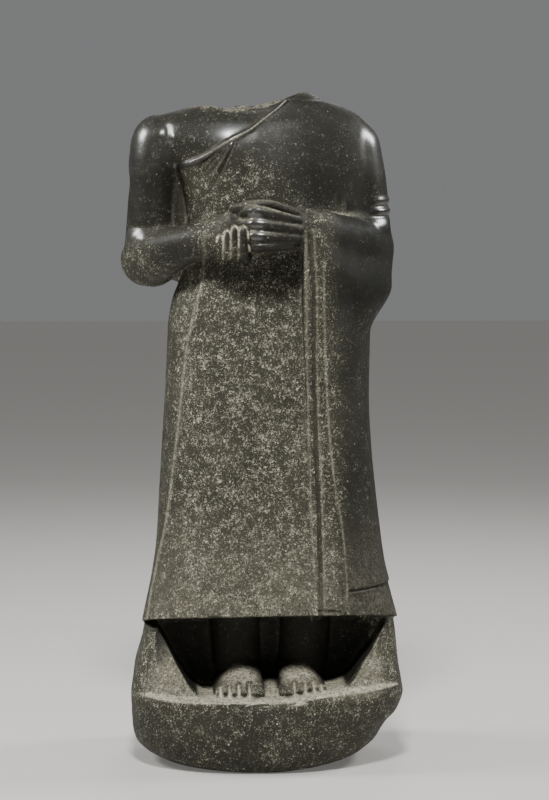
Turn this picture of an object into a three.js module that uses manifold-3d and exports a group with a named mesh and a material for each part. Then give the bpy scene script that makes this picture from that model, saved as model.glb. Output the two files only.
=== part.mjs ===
// A headless standing figure of a ruler with clasped hands, wrapped in a long shawl, carved in one block
// with its rounded base. Millimetres, +Z up; the figure faces -Y, and its bare arm is on the -X side.
import * as THREE from "three";
import Module from "manifold-3d";

const wasm = await Module();
wasm.setup();

// Driving dimensions
const PEAK_Z = 1240; // highest point of the neck break
const HEM_Z = 257; // the robe's lower edge at the sides
const HEM_RISE = 0.18; // how much the hem climbs toward the front, per millimetre
const LEDGE_Z = 131; // the ledge that the feet stand on
const NICHE_BACK = -18; // y of the wall behind the feet
const CLOTH = 4; // thickness of one carved layer of cloth
const INSET = 14; // how far an added piece reaches into the stone behind it
const BORDER_X = 68; // the hanging border's free edge at the hands

const vec = (x, y, z) => new THREE.Vector3(x, y, z);
const mix = THREE.MathUtils.lerp;
const ease = THREE.MathUtils.smoothstep;
const range = (count, from, to) => Array.from({ length: count }, (_, i) => mix(from, to, i / (count - 1)));

// A smooth function through [position, value] knots, which never overshoots them
function profile(...knots) {
  const last = knots.length - 1;
  const secant = (i) => (knots[i + 1][1] - knots[i][1]) / (knots[i + 1][0] - knots[i][0]);
  const slope = knots.map((_, i) => {
    if (i === 0 || i === last) return secant(Math.min(i, last - 1));
    const before = secant(i - 1);
    const after = secant(i);
    return before * after <= 0 ? 0 : (2 * before * after) / (before + after);
  });
  return (where) => {
    const at = THREE.MathUtils.clamp(where, knots[0][0], knots[last][0]);
    let i = 0;
    while (i < last - 1 && at > knots[i + 1][0]) i++;
    const span = knots[i + 1][0] - knots[i][0];
    const t = (at - knots[i][0]) / span;
    const rise = t * t * (3 - 2 * t);
    const leave = t * (1 - t) * (1 - t) * span;
    const arrive = t * t * (t - 1) * span;
    return mix(knots[i][1], knots[i + 1][1], rise) + leave * slope[i] + arrive * slope[i + 1];
  };
}

// A closed skin over rings of equal length, each end closed by a fan to a tip, or to the ring's middle
function skin(rings, tips = []) {
  const sides = rings[0].length;
  const points = rings.flat();
  const faces = [];
  const at = (ring, side) => ring * sides + (side % sides);
  for (let r = 0; r < rings.length - 1; r++) {
    for (let s = 0; s < sides; s++) {
      faces.push(at(r, s), at(r, s + 1), at(r + 1, s + 1));
      faces.push(at(r, s), at(r + 1, s + 1), at(r + 1, s));
    }
  }
  for (const [end, ring] of [0, rings.length - 1].entries()) {
    const tip = points.length;
    const middle = rings[ring].reduce((sum, p) => sum.add(p), vec(0, 0, 0)).divideScalar(sides);
    points.push(tips[end] ?? middle);
    for (let s = 0; s < sides; s++) {
      if (end === 0) faces.push(at(ring, s + 1), at(ring, s), tip);
      else faces.push(at(ring, s), at(ring, s + 1), tip);
    }
  }
  const geometry = new THREE.BufferGeometry().setFromPoints(points);
  geometry.setIndex(faces);
  return solid(geometry);
}

// A solid from any closed geometry: corners in one place become one corner, and its faces are turned outward
function solid(geometry) {
  const source = geometry.getAttribute("position");
  const order = geometry.getIndex()?.array ?? Array.from({ length: source.count }, (_, i) => i);
  const seen = new Map();
  const points = [];
  const corners = Array.from(order, (i) => {
    const p = vec(source.getX(i), source.getY(i), source.getZ(i));
    const key = p.toArray().map((c) => Math.round(c * 1e3)).join();
    if (!seen.has(key)) seen.set(key, points.push(p) - 1);
    return seen.get(key);
  });
  const faces = [];
  let volume = 0;
  for (let f = 0; f < corners.length; f += 3) {
    const [a, b, c] = corners.slice(f, f + 3);
    if (a === b || b === c || c === a) continue;
    faces.push(a, b, c);
    volume += points[a].dot(points[b].clone().cross(points[c]));
  }
  if (volume < 0) faces.reverse();
  const vertProperties = new Float32Array(points.flatMap((p) => p.toArray()));
  const mesh = new wasm.Mesh({ numProp: 3, vertProperties, triVerts: new Uint32Array(faces) });
  return new wasm.Manifold(mesh);
}

const joined = (...solids) => solids.reduce((sum, s) => sum.add(s));

// A limb, finger or rolled edge: elliptical sections along a smooth curve, with rounded ends.
// Each station is [x, y, z, half width, half height], and up is the direction of the height.
function limb(stations, { sides = 10, steps = 7, up = vec(0, 0, 1) } = {}) {
  const curve = new THREE.CatmullRomCurve3(stations.map(([x, y, z]) => vec(x, y, z)));
  const wide = profile(...stations.map((s, i) => [i / (stations.length - 1), s[3]]));
  const tall = profile(...stations.map((s, i) => [i / (stations.length - 1), s[4]]));
  const ahead = (t, reach) =>
    curve.getPoint(t).addScaledVector(curve.getTangent(t), reach * Math.min(wide(t), tall(t)));
  const ring = (t, scale, reach) => {
    const along = curve.getTangent(t);
    const across = along.clone().cross(up).normalize();
    const rise = across.clone().cross(along);
    const centre = ahead(t, reach);
    return Array.from({ length: sides }, (_, i) => {
      const angle = (2 * Math.PI * (i + 0.5)) / sides;
      const side = across.clone().multiplyScalar(Math.cos(angle) * wide(t) * scale);
      return side.addScaledVector(rise, Math.sin(angle) * tall(t) * scale).add(centre);
    });
  };
  const body = range(steps, 0, 1).map((t) => ring(t, 1, 0));
  return skin([ring(0, 0.72, -0.66), ...body, ring(1, 0.72, 0.66)], [ahead(0, -0.96), ahead(1, 0.96)]);
}

// A closed slab whose outer and inner faces are given as functions of u and v from 0 to 1
function slab(columns, rows, outer, inner) {
  const box = new THREE.BoxGeometry(1, 1, 1, columns, 1, rows);
  const corner = box.getAttribute("position");
  for (let i = 0; i < corner.count; i++) {
    const face = corner.getY(i) < 0 ? outer : inner;
    const p = face(corner.getX(i) + 0.5, corner.getZ(i) + 0.5);
    corner.setXYZ(i, p.x, p.y, p.z);
  }
  return solid(box);
}

// A rounded-box outline in the XY plane, with its own reach on each of the four sides
function section(angle, z, { left, right, front, back, square }) {
  const cos = Math.cos(angle);
  const sin = Math.sin(angle);
  const power = 2 / square(z);
  const x = Math.sign(cos) * Math.abs(cos) ** power * (cos < 0 ? left(z) : right(z));
  const y = Math.sign(sin) * Math.abs(sin) ** power * (sin < 0 ? front(z) : back(z));
  return vec(x, y, z);
}

const circle = (sides) => Array.from({ length: sides }, (_, i) => (2 * Math.PI * i) / sides);

// The trunk: the robe from its hem up, the chest and the shoulders' slope to the neck
const TRUNK = {
  left: profile(
    [257, 226], [345, 207], [400, 199], [516, 192], [640, 184], [724, 179], [812, 175], [860, 166], [905, 150],
    [1001, 141], [1084, 155], [1120, 174], [1160, 205], [1181, 205], [1195, 190], [1204, 162], [1214, 129], [1250, 100],
  ),
  right: profile(
    [257, 251], [322, 233], [374, 220], [444, 210], [514, 202], [584, 195], [680, 190], [804, 192], [900, 190],
    [1000, 188], [1075, 192], [1120, 195], [1160, 195], [1181, 190], [1196, 176], [1208, 152], [1220, 118], [1250, 60],
  ),
  front: profile(
    [257, 150], [400, 140], [550, 132], [700, 127], [820, 121], [920, 116], [1020, 117], [1090, 115], [1140, 106],
    [1175, 92], [1196, 76], [1214, 66], [1250, 58],
  ),
  back: profile(
    [257, 152], [400, 140], [550, 132], [700, 128], [820, 126], [920, 127], [1020, 131], [1090, 130], [1140, 121],
    [1175, 106], [1196, 93], [1214, 82], [1250, 66],
  ),
  square: profile([257, 2.8], [500, 2.6], [800, 2.5], [1000, 2.6], [1120, 2.7], [1190, 2.4], [1250, 2.2]),
};

// A point of the trunk's skin, moved out of the stone by lift
function trunkPoint(angle, z, lift = 0) {
  const point = section(angle, z, TRUNK);
  if (lift === 0) return point;
  const around = section(angle + 0.02, z, TRUNK).sub(section(angle - 0.02, z, TRUNK));
  const upward = section(angle, z + 4, TRUNK).sub(section(angle, z - 4, TRUNK));
  return point.addScaledVector(around.cross(upward).normalize(), lift);
}

// The angle round the trunk where its front has a given x
function frontAngle(x, z) {
  const reach = x < 0 ? TRUNK.left(z) : TRUNK.right(z);
  const share = Math.min(Math.abs(x) / reach, 0.999) ** (TRUNK.square(z) / 2);
  return -Math.acos(Math.sign(x) * share);
}

const frontPoint = (x, z, lift = 0) => trunkPoint(frontAngle(x, z), z, lift);

const hemZ = (x, y) => HEM_Z + HEM_RISE * Math.max(0, -y) + 0.012 * x;

// A point at share v of the way from the hem up to a given height, at the angle found by a function of z
function aboveHem(angleAt, v, top, lift, clear = 0) {
  const foot = trunkPoint(angleAt(HEM_Z + 20), HEM_Z + 20);
  const z = mix(hemZ(foot.x, foot.y) + clear, top, v);
  return trunkPoint(angleAt(z), z, lift);
}

function trunk() {
  const heights = [
    ...range(10, HEM_Z, 820),
    ...range(6, 865, 1120),
    1145, 1165, 1181, 1193, 1203, 1214, 1250,
  ];
  const rings = heights.map((z) => circle(34).map((angle) => trunkPoint(angle, z)));
  for (const p of rings[0]) p.z = hemZ(p.x, p.y);
  return skin(rings);
}

// Stone that carries each shoulder from the chest out to the arm
function shoulders() {
  const style = { sides: 12, steps: 3 };
  return joined(
    limb([[-70, 6, 1128, 92, 66], [-120, 6, 1136, 84, 62], [-160, 5, 1141, 73, 56], [-190, 3, 1140, 63, 53]], style),
    limb([[60, 6, 1130, 92, 66], [115, 6, 1136, 84, 60], [148, 5, 1139, 73, 56], [169, 4, 1134, 62, 52]], style),
  );
}

// The bare arm: upper arm, bent elbow and forearm, and the stone left between it and the waist
function bareArm() {
  const upper = limb(
    [[-187, 3, 1146, 54, 63], [-193, 7, 1100, 53, 66], [-198, 11, 1042, 50, 66], [-199, 14, 985, 53, 66],
      [-204, 15, 934, 54, 62]],
    { sides: 12, up: vec(0, 1, 0) },
  );
  const fore = limb(
    [[-213, 21, 930, 50, 49], [-187, -40, 943, 46, 45], [-150, -98, 958, 40, 37], [-118, -138, 966, 36, 34],
      [-84, -166, 973, 33, 35]],
    { sides: 12 },
  );
  const web = limb([[-140, 22, 1110, 40, 62], [-146, 22, 1010, 40, 62], [-150, 22, 925, 36, 58]], {
    sides: 8,
    steps: 2,
    up: vec(0, 1, 0),
  });
  return joined(upper, fore, web);
}

// Stations of the draped forearm, from the elbow to the wrist
const FOREARM = [
  [196, 2, 951, 52, 58], [165, -60, 959, 50, 52], [125, -115, 970, 44, 46], [92, -152, 981, 38, 43],
  [70, -168, 986, 33, 40],
];

// The draped arm: wider and lower at the elbow, where cloth wraps it, with two small folds above the crook
function drapedArm() {
  const upper = limb(
    [[168, 4, 1138, 52, 63], [179, 7, 1090, 50, 67], [185, 10, 1040, 50, 70], [189, 11, 985, 52, 72],
      [191, 10, 930, 54, 72], [186, 8, 885, 53, 64]],
    { sides: 12, up: vec(0, 1, 0) },
  );
  const fore = limb(FOREARM, { sides: 12 });
  const folds = [1037, 1019].map((z) =>
    limb([[204, -54, z + 3, 7, 6], [223, -30, z + 1, 8, 7], [232, 6, z - 1, 7, 7]], { sides: 6, steps: 3 }),
  );
  return joined(upper, fore, ...folds);
}

// The line that the cloth hangs from, round the outer side of the draped forearm from the wrist to the elbow
const hangLine = new THREE.CatmullRomCurve3([
  vec(64, -200, 986), vec(92, -196, 983), vec(118, -182, 976), vec(160, -142, 963), vec(206, -88, 956),
  vec(236, -38, 950), vec(243, 6, 948),
]);

// The cloth that hangs from the draped arm. Share s runs from the border's free edge to the elbow;
// the cloth falls back to the robe lower down, and sooner toward the elbow.
function drapePoint(s, z, lift) {
  const angle = mix(frontAngle(borderX(z), z), 0, s);
  const robe = trunkPoint(angle, z, lift);
  const hung = hangLine.getPoint(s);
  const low = mix(570, 795, ease(s, 0, 0.5));
  const high = mix(990, 882, ease(s, 0, 0.7));
  const share = ease(z, low, high);
  return vec(mix(robe.x, Math.max(hung.x, robe.x), share), mix(robe.y, hung.y - 0.4 * lift, share), z);
}

const borderX = profile([257, 88], [315, 88], [442, 83], [719, 74], [866, 69], [986, 67]);
const shawlX = profile([257, 150], [335, 148], [440, 140], [533, 124], [716, 109], [891, 101], [986, 97]);

// The share s at which the cloth's front has a given x
function drapeShare(x, z) {
  let low = 0;
  let high = 1;
  for (let i = 0; i < 18; i++) {
    const s = (low + high) / 2;
    if (drapePoint(s, z, 0).x < x) low = s;
    else high = s;
  }
  return low;
}

function drape() {
  const height = (u, v) => {
    const foot = drapePoint(u, HEM_Z + 22, 0);
    const step = 10 * (1 - ease(foot.x, 125, 165));
    return mix(hemZ(foot.x, foot.y) + step, hangLine.getPoint(u).z, v);
  };
  const outer = (u, v) => drapePoint(u, height(u, v), CLOTH + 1);
  const inner = (u, v) => {
    const z = height(u, v);
    return trunkPoint(mix(frontAngle(borderX(z), z), 0, u), z, -INSET);
  };
  return slab(8, 15, outer, inner);
}

// The shawl's outer layer on the draped side, with its own hem higher up; it goes on round the back
function shawl() {
  const share = (u, z) => mix(drapeShare(shawlX(z), z), 1, u);
  const height = (u, v) => mix(mix(320, 333, u), mix(905, 850, u), v);
  const outer = (u, v) => {
    const z = height(u, v);
    return drapePoint(share(u, z), z, 2 * CLOTH + 1);
  };
  const inner = (u, v) => {
    const z = height(u, v);
    return trunkPoint(mix(frontAngle(borderX(z), z), 0, share(u, z)), z, -INSET);
  };
  const rear = (lift) => (u, v) => {
    const z = mix(mix(333, 326, u), 835, v);
    return trunkPoint(mix(-0.1, 2.9, u), z, lift > 0 ? lift * (1 - ease(u, 0.55, 1)) * (1 - v ** 5) - 0.5 : lift);
  };
  return joined(slab(5, 10, outer, inner), slab(13, 6, rear(2 * CLOTH + 1), rear(-INSET)));
}

// The panel across the front, whose free edge runs from under the bare arm down to the hem's corner
function frontPanel() {
  const edge = profile([257, -221], [347, -204], [388, -196], [457, -181], [525, -172], [639, -158], [752, -146],
    [824, -133], [905, -112]);
  const face = (lift) => (u, v) => aboveHem((z) => mix(frontAngle(edge(z), z), frontAngle(95, z), u), v, 912, lift);
  return slab(9, 12, face(CLOTH), face(-INSET));
}

// The rolled upper edge of the shawl, over the chest from the armpit to the neck, and down the back again
function rolledEdge() {
  const path = [[-160, 1104], [-133, 1112], [-105, 1125], [-70, 1143], [-36, 1162], [-14, 1181], [10, 1201], [40, 1227]];
  const over = ([x, z]) => [...frontPoint(x, z, 1).toArray(), 6, 5];
  const behind = ([x, z]) => {
    const p = trunkPoint(-frontAngle(x, z), z, 1);
    return [...p.toArray(), 6, 5];
  };
  const style = { sides: 5, steps: 8 };
  return joined(limb(path.map(over), style), limb(path.map(behind), style));
}

// The clasped hands, held against the chest: the bare arm's hand lies in front, and the other one holds it
// from below, its fingertips curling up before the palm and its thumb lying along the top
function hands() {
  const backOfHand = limb(
    [[-94, -158, 974, 31, 35], [-64, -179, 980, 25, 40], [-30, -191, 988, 18, 44]],
    { sides: 12, steps: 3 },
  );
  const fingers = [
    [1022, 1002, 62, 11], [1001, 985, 65, 10.5], [980, 968, 66, 10], [959, 953, 59, 9.5],
  ].map(([knuckle, tip, x, r]) =>
    limb([[-38, -194, knuckle, r, r + 1], [12, -203, mix(knuckle, tip, 0.55), r, r], [x - r, -198, tip, r, r * 0.85]],
      { sides: 7, steps: 3 }),
  );
  const curled = [
    [-81, 970, 6.5], [-67.5, 979, 6.5], [-52.5, 983, 8], [-36.5, 980, 9],
  ].map(([x, top, r]) =>
    limb(
      [[x + 9, -166, 940, r, r], [x + 1, -197, 938, r, r], [x, -208, 952, r, r], [x, -208, top, r, 7]],
      { sides: 6, steps: 4, up: vec(1, 0, 0.01) },
    ),
  );
  const thumb = limb(
    [[-58, -168, 1029, 10, 8], [-30, -172, 1035, 11, 9], [10, -170, 1033, 13, 11], [60, -160, 1014, 16, 16]],
    { sides: 8, steps: 4 },
  );
  const palm = limb(
    [[-70, -128, 968, 44, 38], [0, -140, 976, 50, 50], [55, -145, 982, 48, 47], [85, -140, 984, 40, 40]],
    { sides: 12, steps: 3 },
  );
  return joined(palm, backOfHand, thumb, ...fingers, ...curled);
}

// The base: a boulder with a small flat underside. Above the ledge its front draws back in two cheeks.
const BASE = {
  left: profile([0, 152], [6, 188], [25, 221], [46, 239], [74, 244], [127, 246], [174, 241], [227, 230], [262, 222]),
  right: profile([0, 92], [6, 142], [16, 178], [40, 212], [73, 231], [93, 250], [129, 260], [190, 255], [240, 250],
    [262, 246]),
  front: profile([0, 166], [6, 176], [25, 185], [60, 188], [100, 183], [124, 174], [131, 167], [134, 159], [145, 149],
    [165, 138], [200, 127], [262, 108]),
  back: profile([0, 150], [6, 164], [25, 175], [60, 183], [130, 185], [200, 176], [262, 161]),
  square: profile([0, 2.4], [40, 2.7], [131, 3.3], [200, 3], [262, 2.8]),
};

// How much higher than its middle the ledge is at a given x
const ledgeRise = (x) => 0.0004 * (x + 30) ** 2;

function base() {
  const ring = (z) =>
    circle(34).map((angle) => {
      const p = section(angle, z, BASE);
      const share = ease(-p.y, 40, 130) * ease(z, 60, LEDGE_Z) * (1 - ease(z, LEDGE_Z + 10, 262));
      return p.setZ(z + ledgeRise(p.x) * share);
    });
  const heights = [0, 6, 16, 30, 50, 76, 102, 123, 131, 134, 145, 163, 190, 225, 266];
  return skin(heights.map(ring)).subtract(niche());
}

// The hollow round the feet, an arch upside down: wide under the hem and narrower at the ledge
function niche() {
  const floor = (x) => new THREE.Vector2(x, LEDGE_Z + ledgeRise(x) + 3);
  const outline = new THREE.Shape();
  outline.moveTo(-206, 320);
  outline.lineTo(-200, 259);
  outline.splineThru([new THREE.Vector2(-180, 227), new THREE.Vector2(-162, 192), new THREE.Vector2(-143, 160)]);
  outline.quadraticCurveTo(-134, 144, floor(-112).x, floor(-112).y);
  for (const x of [-75, -35, 5, 45, 85]) outline.lineTo(floor(x).x, floor(x).y);
  outline.lineTo(floor(118).x, floor(118).y + 2);
  outline.quadraticCurveTo(150, 150, 163, 168);
  outline.splineThru([new THREE.Vector2(180, 194), new THREE.Vector2(204, 226), new THREE.Vector2(226, 262)]);
  outline.lineTo(232, 320);
  const hollow = new THREE.ExtrudeGeometry(outline, { depth: 260, bevelEnabled: false, curveSegments: 2 });
  hollow.rotateX(Math.PI / 2);
  hollow.translate(0, NICHE_BACK, 0);
  return solid(hollow);
}

// One leg, which stands out of the niche's back wall, and its foot with five toes
function foot(side, ankle, heel, toes) {
  const leg = limb(
    [[ankle, -16, 300, 48, 44], [ankle, -18, 240, 47, 42], [mix(ankle, heel, 0.5), -24, 190, 44, 42]],
    { sides: 10, steps: 3, up: vec(0, 1, 0) },
  );
  const instep = limb(
    [[heel, -20, 172, 43, 46], [heel, -66, 162, 44, 38], [heel + side * 2, -100, 152, 44, 28],
      [heel + side * 2, -124, 146, 43, 18]],
    { sides: 12, steps: 4 },
  );
  const digits = toes.map(([x, tip, width, z]) =>
    limb(
      [[x - side * 2, -104, z + 8, width, 14], [x, -126, z + 5, width, 12], [x, tip + width * 0.7, z, width, 9.5]],
      { sides: 6, steps: 3 },
    ),
  );
  return joined(leg, instep, ...digits);
}

function feet() {
  return joined(
    foot(-1, -52, -49, [[-15, -151, 11.5, 142], [-40.5, -150, 7.6, 142], [-58, -147, 7.4, 143],
      [-75, -142, 6.6, 144], [-89, -135, 6, 146]]),
    foot(1, 79, 67, [[36, -151, 13, 143], [65, -149, 7.6, 145], [81, -146, 7, 147], [96, -141, 6.2, 149],
      [109, -135, 5.6, 151]]),
  );
}

// The break at the neck: an uneven face that climbs to the back and to a peak on the draped side
const lipFront = profile([-170, 1232], [-132, 1212], [-96, 1209], [-77, 1204], [-27, 1202], [4, 1209], [28, 1217],
  [47, 1229], [70, 1238], [100, 1262]);
const lipBack = profile([-170, 1232], [-120, 1212], [-73, 1210], [-42, 1215], [-7, 1220], [17, 1226], [45, 1229],
  [70, 1236], [100, 1262]);

function breakHeight(x, y) {
  const uneven = 2 * Math.sin(x / 15 + 1) * Math.cos(y / 19) + 1.3 * Math.sin(x / 8 - y / 11);
  const hollow = -7 * Math.exp(-(((x + 15) / 50) ** 2) - ((y - 10) / 40) ** 2);
  return Math.min(mix(lipFront(x), lipBack(x), ease(y, -75, 60)) + uneven + hollow, PEAK_Z + 40);
}

function neckBreak() {
  const block = new THREE.BoxGeometry(340, 280, 100, 20, 15, 1);
  block.translate(-30, 0, 0);
  const corner = block.getAttribute("position");
  for (let i = 0; i < corner.count; i++) {
    const low = corner.getZ(i) < 0;
    corner.setZ(i, low ? breakHeight(corner.getX(i), corner.getY(i)) : PEAK_Z + 60);
  }
  return solid(block);
}

// Nothing stands higher than the peak
function above() {
  const block = new THREE.BoxGeometry(600, 500, 100);
  block.translate(0, 0, PEAK_Z + 50);
  return solid(block);
}

const figure = joined(
  trunk(), shoulders(), frontPanel(), drape(), shawl(), bareArm(), drapedArm(), rolledEdge(), hands(),
).subtract(neckBreak());
const statue = joined(figure, base(), feet()).subtract(above());

// The finished solid goes back to a geometry and is set down with its box's bottom centre at the origin
function toGeometry(body) {
  const { numProp, vertProperties, triVerts } = body.getMesh();
  const geometry = new THREE.BufferGeometry();
  const positions = new Float32Array((vertProperties.length / numProp) * 3);
  for (let i = 0; i < positions.length / 3; i++) {
    positions.set(vertProperties.slice(i * numProp, i * numProp + 3), 3 * i);
  }
  geometry.setAttribute("position", new THREE.BufferAttribute(positions, 3));
  geometry.setIndex(Array.from(triVerts));
  geometry.computeBoundingBox();
  const { min, max } = geometry.boundingBox;
  geometry.translate(-(min.x + max.x) / 2, -(min.y + max.y) / 2, -min.z);
  geometry.computeVertexNormals();
  return geometry;
}

const stone = new THREE.MeshStandardMaterial({ color: 0x3a3b36, roughness: 0.45 });
stone.name = "stone";
const mesh = new THREE.Mesh(toGeometry(statue), stone);
mesh.name = "statue";
const group = new THREE.Group();
group.name = "ruler_statue";
group.add(mesh);
export default group;
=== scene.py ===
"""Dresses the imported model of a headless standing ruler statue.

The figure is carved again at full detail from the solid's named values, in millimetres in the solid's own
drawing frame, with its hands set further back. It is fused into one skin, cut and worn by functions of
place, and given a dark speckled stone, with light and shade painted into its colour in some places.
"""

import math

import bpy
import numpy as np
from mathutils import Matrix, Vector


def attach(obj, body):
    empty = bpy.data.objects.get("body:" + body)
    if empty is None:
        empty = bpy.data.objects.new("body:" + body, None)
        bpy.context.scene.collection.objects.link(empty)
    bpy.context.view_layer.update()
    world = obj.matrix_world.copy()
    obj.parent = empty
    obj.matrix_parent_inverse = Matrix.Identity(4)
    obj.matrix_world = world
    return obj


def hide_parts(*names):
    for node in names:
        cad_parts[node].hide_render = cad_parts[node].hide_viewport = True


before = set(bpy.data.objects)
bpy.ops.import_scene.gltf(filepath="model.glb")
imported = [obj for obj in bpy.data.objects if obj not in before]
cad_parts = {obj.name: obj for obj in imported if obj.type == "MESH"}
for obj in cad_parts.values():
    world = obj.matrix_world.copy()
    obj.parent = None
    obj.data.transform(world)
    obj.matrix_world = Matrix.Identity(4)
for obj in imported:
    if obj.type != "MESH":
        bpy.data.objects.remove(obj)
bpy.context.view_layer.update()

bl_info = {
    "name": "Ruler statue",
    "version": (1, 0, 0),
    "blender": (4, 5, 0),
    "location": "View3D > Sidebar > Statue",
    "description": "Carves and finishes a headless ruler statue over its packed model",
    "category": "Object",
}

# Where the drawing frame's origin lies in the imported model's frame, in millimetres
ORIGIN = np.array([-0.80, 15.64, 0.0])

# Heights of the break's peak, the hem and the ledge, and how fast the hem climbs towards the front
PEAK_Z = 1240.0
HEM_Z = 257.0
HEM_RISE = 0.18
LEDGE_Z = 131.0

# The niche's top, and where it begins and ends from front to back
NICHE_TOP = 320.0
NICHE_FRONT = -280.0
NICHE_BACK = -18.0

# How thick a layer of cloth and the rolled edge's half are, and how far the drape reaches into the robe
CLOTH = 4.0
ROLL = 4.6
INSET = 14.0


# Curves


def mix(a, b, share):
    return a + (b - a) * share


def ease(x, low, high):
    t = np.clip((x - low) / (high - low), 0, 1)
    return t * t * (3 - 2 * t)


def step(distance, width=2.6):
    return ease(distance, -width / 2, width / 2)


def unit(v):
    return v / np.maximum(np.linalg.norm(v, axis=-1, keepdims=True), 1e-9)


def bell(x, centre, width):
    return np.exp(-(((x - centre) / width) ** 2))


def mound(x, z, centre, reach, height=1):
    return height * np.exp(-(((x - centre[0]) / reach[0]) ** 2) - ((z - centre[1]) / reach[1]) ** 2)


def points(x, y, z):
    return np.stack(np.broadcast_arrays(x, y, z), axis=-1).astype(float)


class Profile:
    """A smooth function through (position, value) knots, which never overshoots them."""

    def __init__(self, *knots):
        self.at, self.value = np.array(knots, float).T
        secant = np.diff(self.value) / np.diff(self.at)
        before, after = secant[:-1], secant[1:]
        alike = before * after > 0
        total = np.where(alike, before + after, 1.0)
        middle = np.where(alike, 2 * before * after / total, 0.0)
        self.slope = np.concatenate([secant[:1], middle, secant[-1:]])

    def __call__(self, where):
        where = np.clip(where, self.at[0], self.at[-1])
        i = np.clip(np.searchsorted(self.at, where, side="right") - 1, 0, len(self.at) - 2)
        span = self.at[i + 1] - self.at[i]
        t = (where - self.at[i]) / span
        rise = t * t * (3 - 2 * t)
        bend = t * (1 - t) ** 2 * self.slope[i] + t * t * (t - 1) * self.slope[i + 1]
        return mix(self.value[i], self.value[i + 1], rise) + span * bend


class Curve:
    """A centripetal Catmull-Rom curve through its points."""

    def __init__(self, knots):
        self.knots = np.array(knots, float)

    def point(self, t):
        p = self.knots
        last = len(p) - 1
        at = np.clip(t, 0, 1) * last
        i = np.minimum(np.floor(at).astype(int), last - 1)
        w = (at - i)[..., None]
        padded = np.concatenate([[2 * p[0] - p[1]], p, [2 * p[last] - p[last - 1]]])
        p0, p1, p2, p3 = (padded[i + k] for k in range(4))
        pairs = ((p0, p1), (p1, p2), (p2, p3))
        d0, d1, d2 = (np.sqrt(np.linalg.norm(b - a, axis=-1, keepdims=True)) for a, b in pairs)
        leave = ((p1 - p0) / d0 - (p2 - p0) / (d0 + d1) + (p2 - p1) / d1) * d1
        arrive = ((p2 - p1) / d1 - (p3 - p1) / (d1 + d2) + (p3 - p2) / d2) * d1
        square = -3 * p1 + 3 * p2 - 2 * leave - arrive
        cube = 2 * p1 - 2 * p2 + leave + arrive
        return p1 + leave * w + square * w**2 + cube * w**3

    def tangent(self, t):
        return unit(self.point(t + 1e-3) - self.point(t - 1e-3))


def noise(p, size, seed):
    """Smooth noise from 0 to 1 over space, the same on every run."""
    q = p / size + 31.7 * seed
    cell = np.floor(q)
    f = q - cell
    f = f * f * (3 - 2 * f)
    total = 0.0
    for corner in np.ndindex(2, 2, 2):
        c = cell + corner
        value = np.sin(c[..., 0] * 127.1 + c[..., 1] * 311.7 + c[..., 2] * 74.7 + seed) * 43758.5453
        value -= np.floor(value)
        weight = 1.0
        for k in range(3):
            weight = weight * (f[..., k] if corner[k] else 1 - f[..., k])
        total = total + value * weight
    return total


def ripple(p, size, seed):
    """The same noise, from -0.5 to 0.5."""
    return noise(p, size, seed) - 0.5


# Meshes, in millimetres until the statue is set down

# The edit step that points every face outwards
OUTWARD = (bpy.ops.mesh.normals_make_consistent, {"inside": False})


def coordinates(mesh):
    co = np.empty(len(mesh.vertices) * 3, np.float32)
    mesh.vertices.foreach_get("co", co)
    return co.reshape(-1, 3).astype(float)


def set_coordinates(mesh, co):
    mesh.vertices.foreach_set("co", co.astype(np.float32).ravel())
    mesh.update()


def pick(obj):
    """Leaves the object as the only one selected, and active."""
    bpy.ops.object.select_all(action="DESELECT")
    obj.select_set(True)
    bpy.context.view_layer.objects.active = obj
    return obj


def edit(obj, *steps):
    """Runs edit-mode steps, each an operator and its settings, on the whole mesh."""
    pick(obj)
    bpy.ops.object.mode_set(mode="EDIT")
    bpy.ops.mesh.select_all(action="SELECT")
    for operator, settings in steps:
        operator(**settings)
    bpy.ops.object.mode_set(mode="OBJECT")
    return obj


def grid(name, columns, rows):
    """A flat square grid of a unit's side, with that many cells each way."""
    bpy.ops.mesh.primitive_grid_add(x_subdivisions=columns, y_subdivisions=rows, size=1)
    obj = bpy.context.object
    obj.name = name
    return obj


def shares(obj):
    co = coordinates(obj.data)
    return co[:, 0] + 0.5, co[:, 1] + 0.5, co[:, 2]


def skin(name, rings, tips=(None, None)):
    """A grid wrapped into a closed skin: its sides meet, and its end rows shrink to the tips."""
    ends = [ring.mean(axis=0) if tip is None else tip for ring, tip in zip((rings[0], rings[-1]), tips)]
    ends = [np.broadcast_to(end, rings[:1].shape) for end in ends]
    rings = np.concatenate([ends[0], rings, ends[1]])
    rings = np.concatenate([rings, rings[:, :1]], axis=1)
    rows, columns = rings.shape[:2]
    obj = grid(name, columns - 1, rows - 1)
    u, v, _ = shares(obj)
    row, column = np.rint(v * (rows - 1)).astype(int), np.rint(u * (columns - 1)).astype(int)
    set_coordinates(obj.data, rings[row, column])
    return edit(obj, (bpy.ops.mesh.remove_doubles, {"threshold": 0.002}), OUTWARD)


def slab(name, columns, rows, outer, inner):
    """A closed slab between two faces, each given as a function of u and v from 0 to 1."""
    obj = grid(name, columns, rows)
    edit(obj, (bpy.ops.mesh.extrude_region_move, {"TRANSFORM_OT_translate": {"value": (0, 0, 1)}}))
    u, v, top = shares(obj)
    set_coordinates(obj.data, np.where(top[:, None] > 0.5, outer(u, v), inner(u, v)))
    return edit(obj, OUTWARD)


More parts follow.
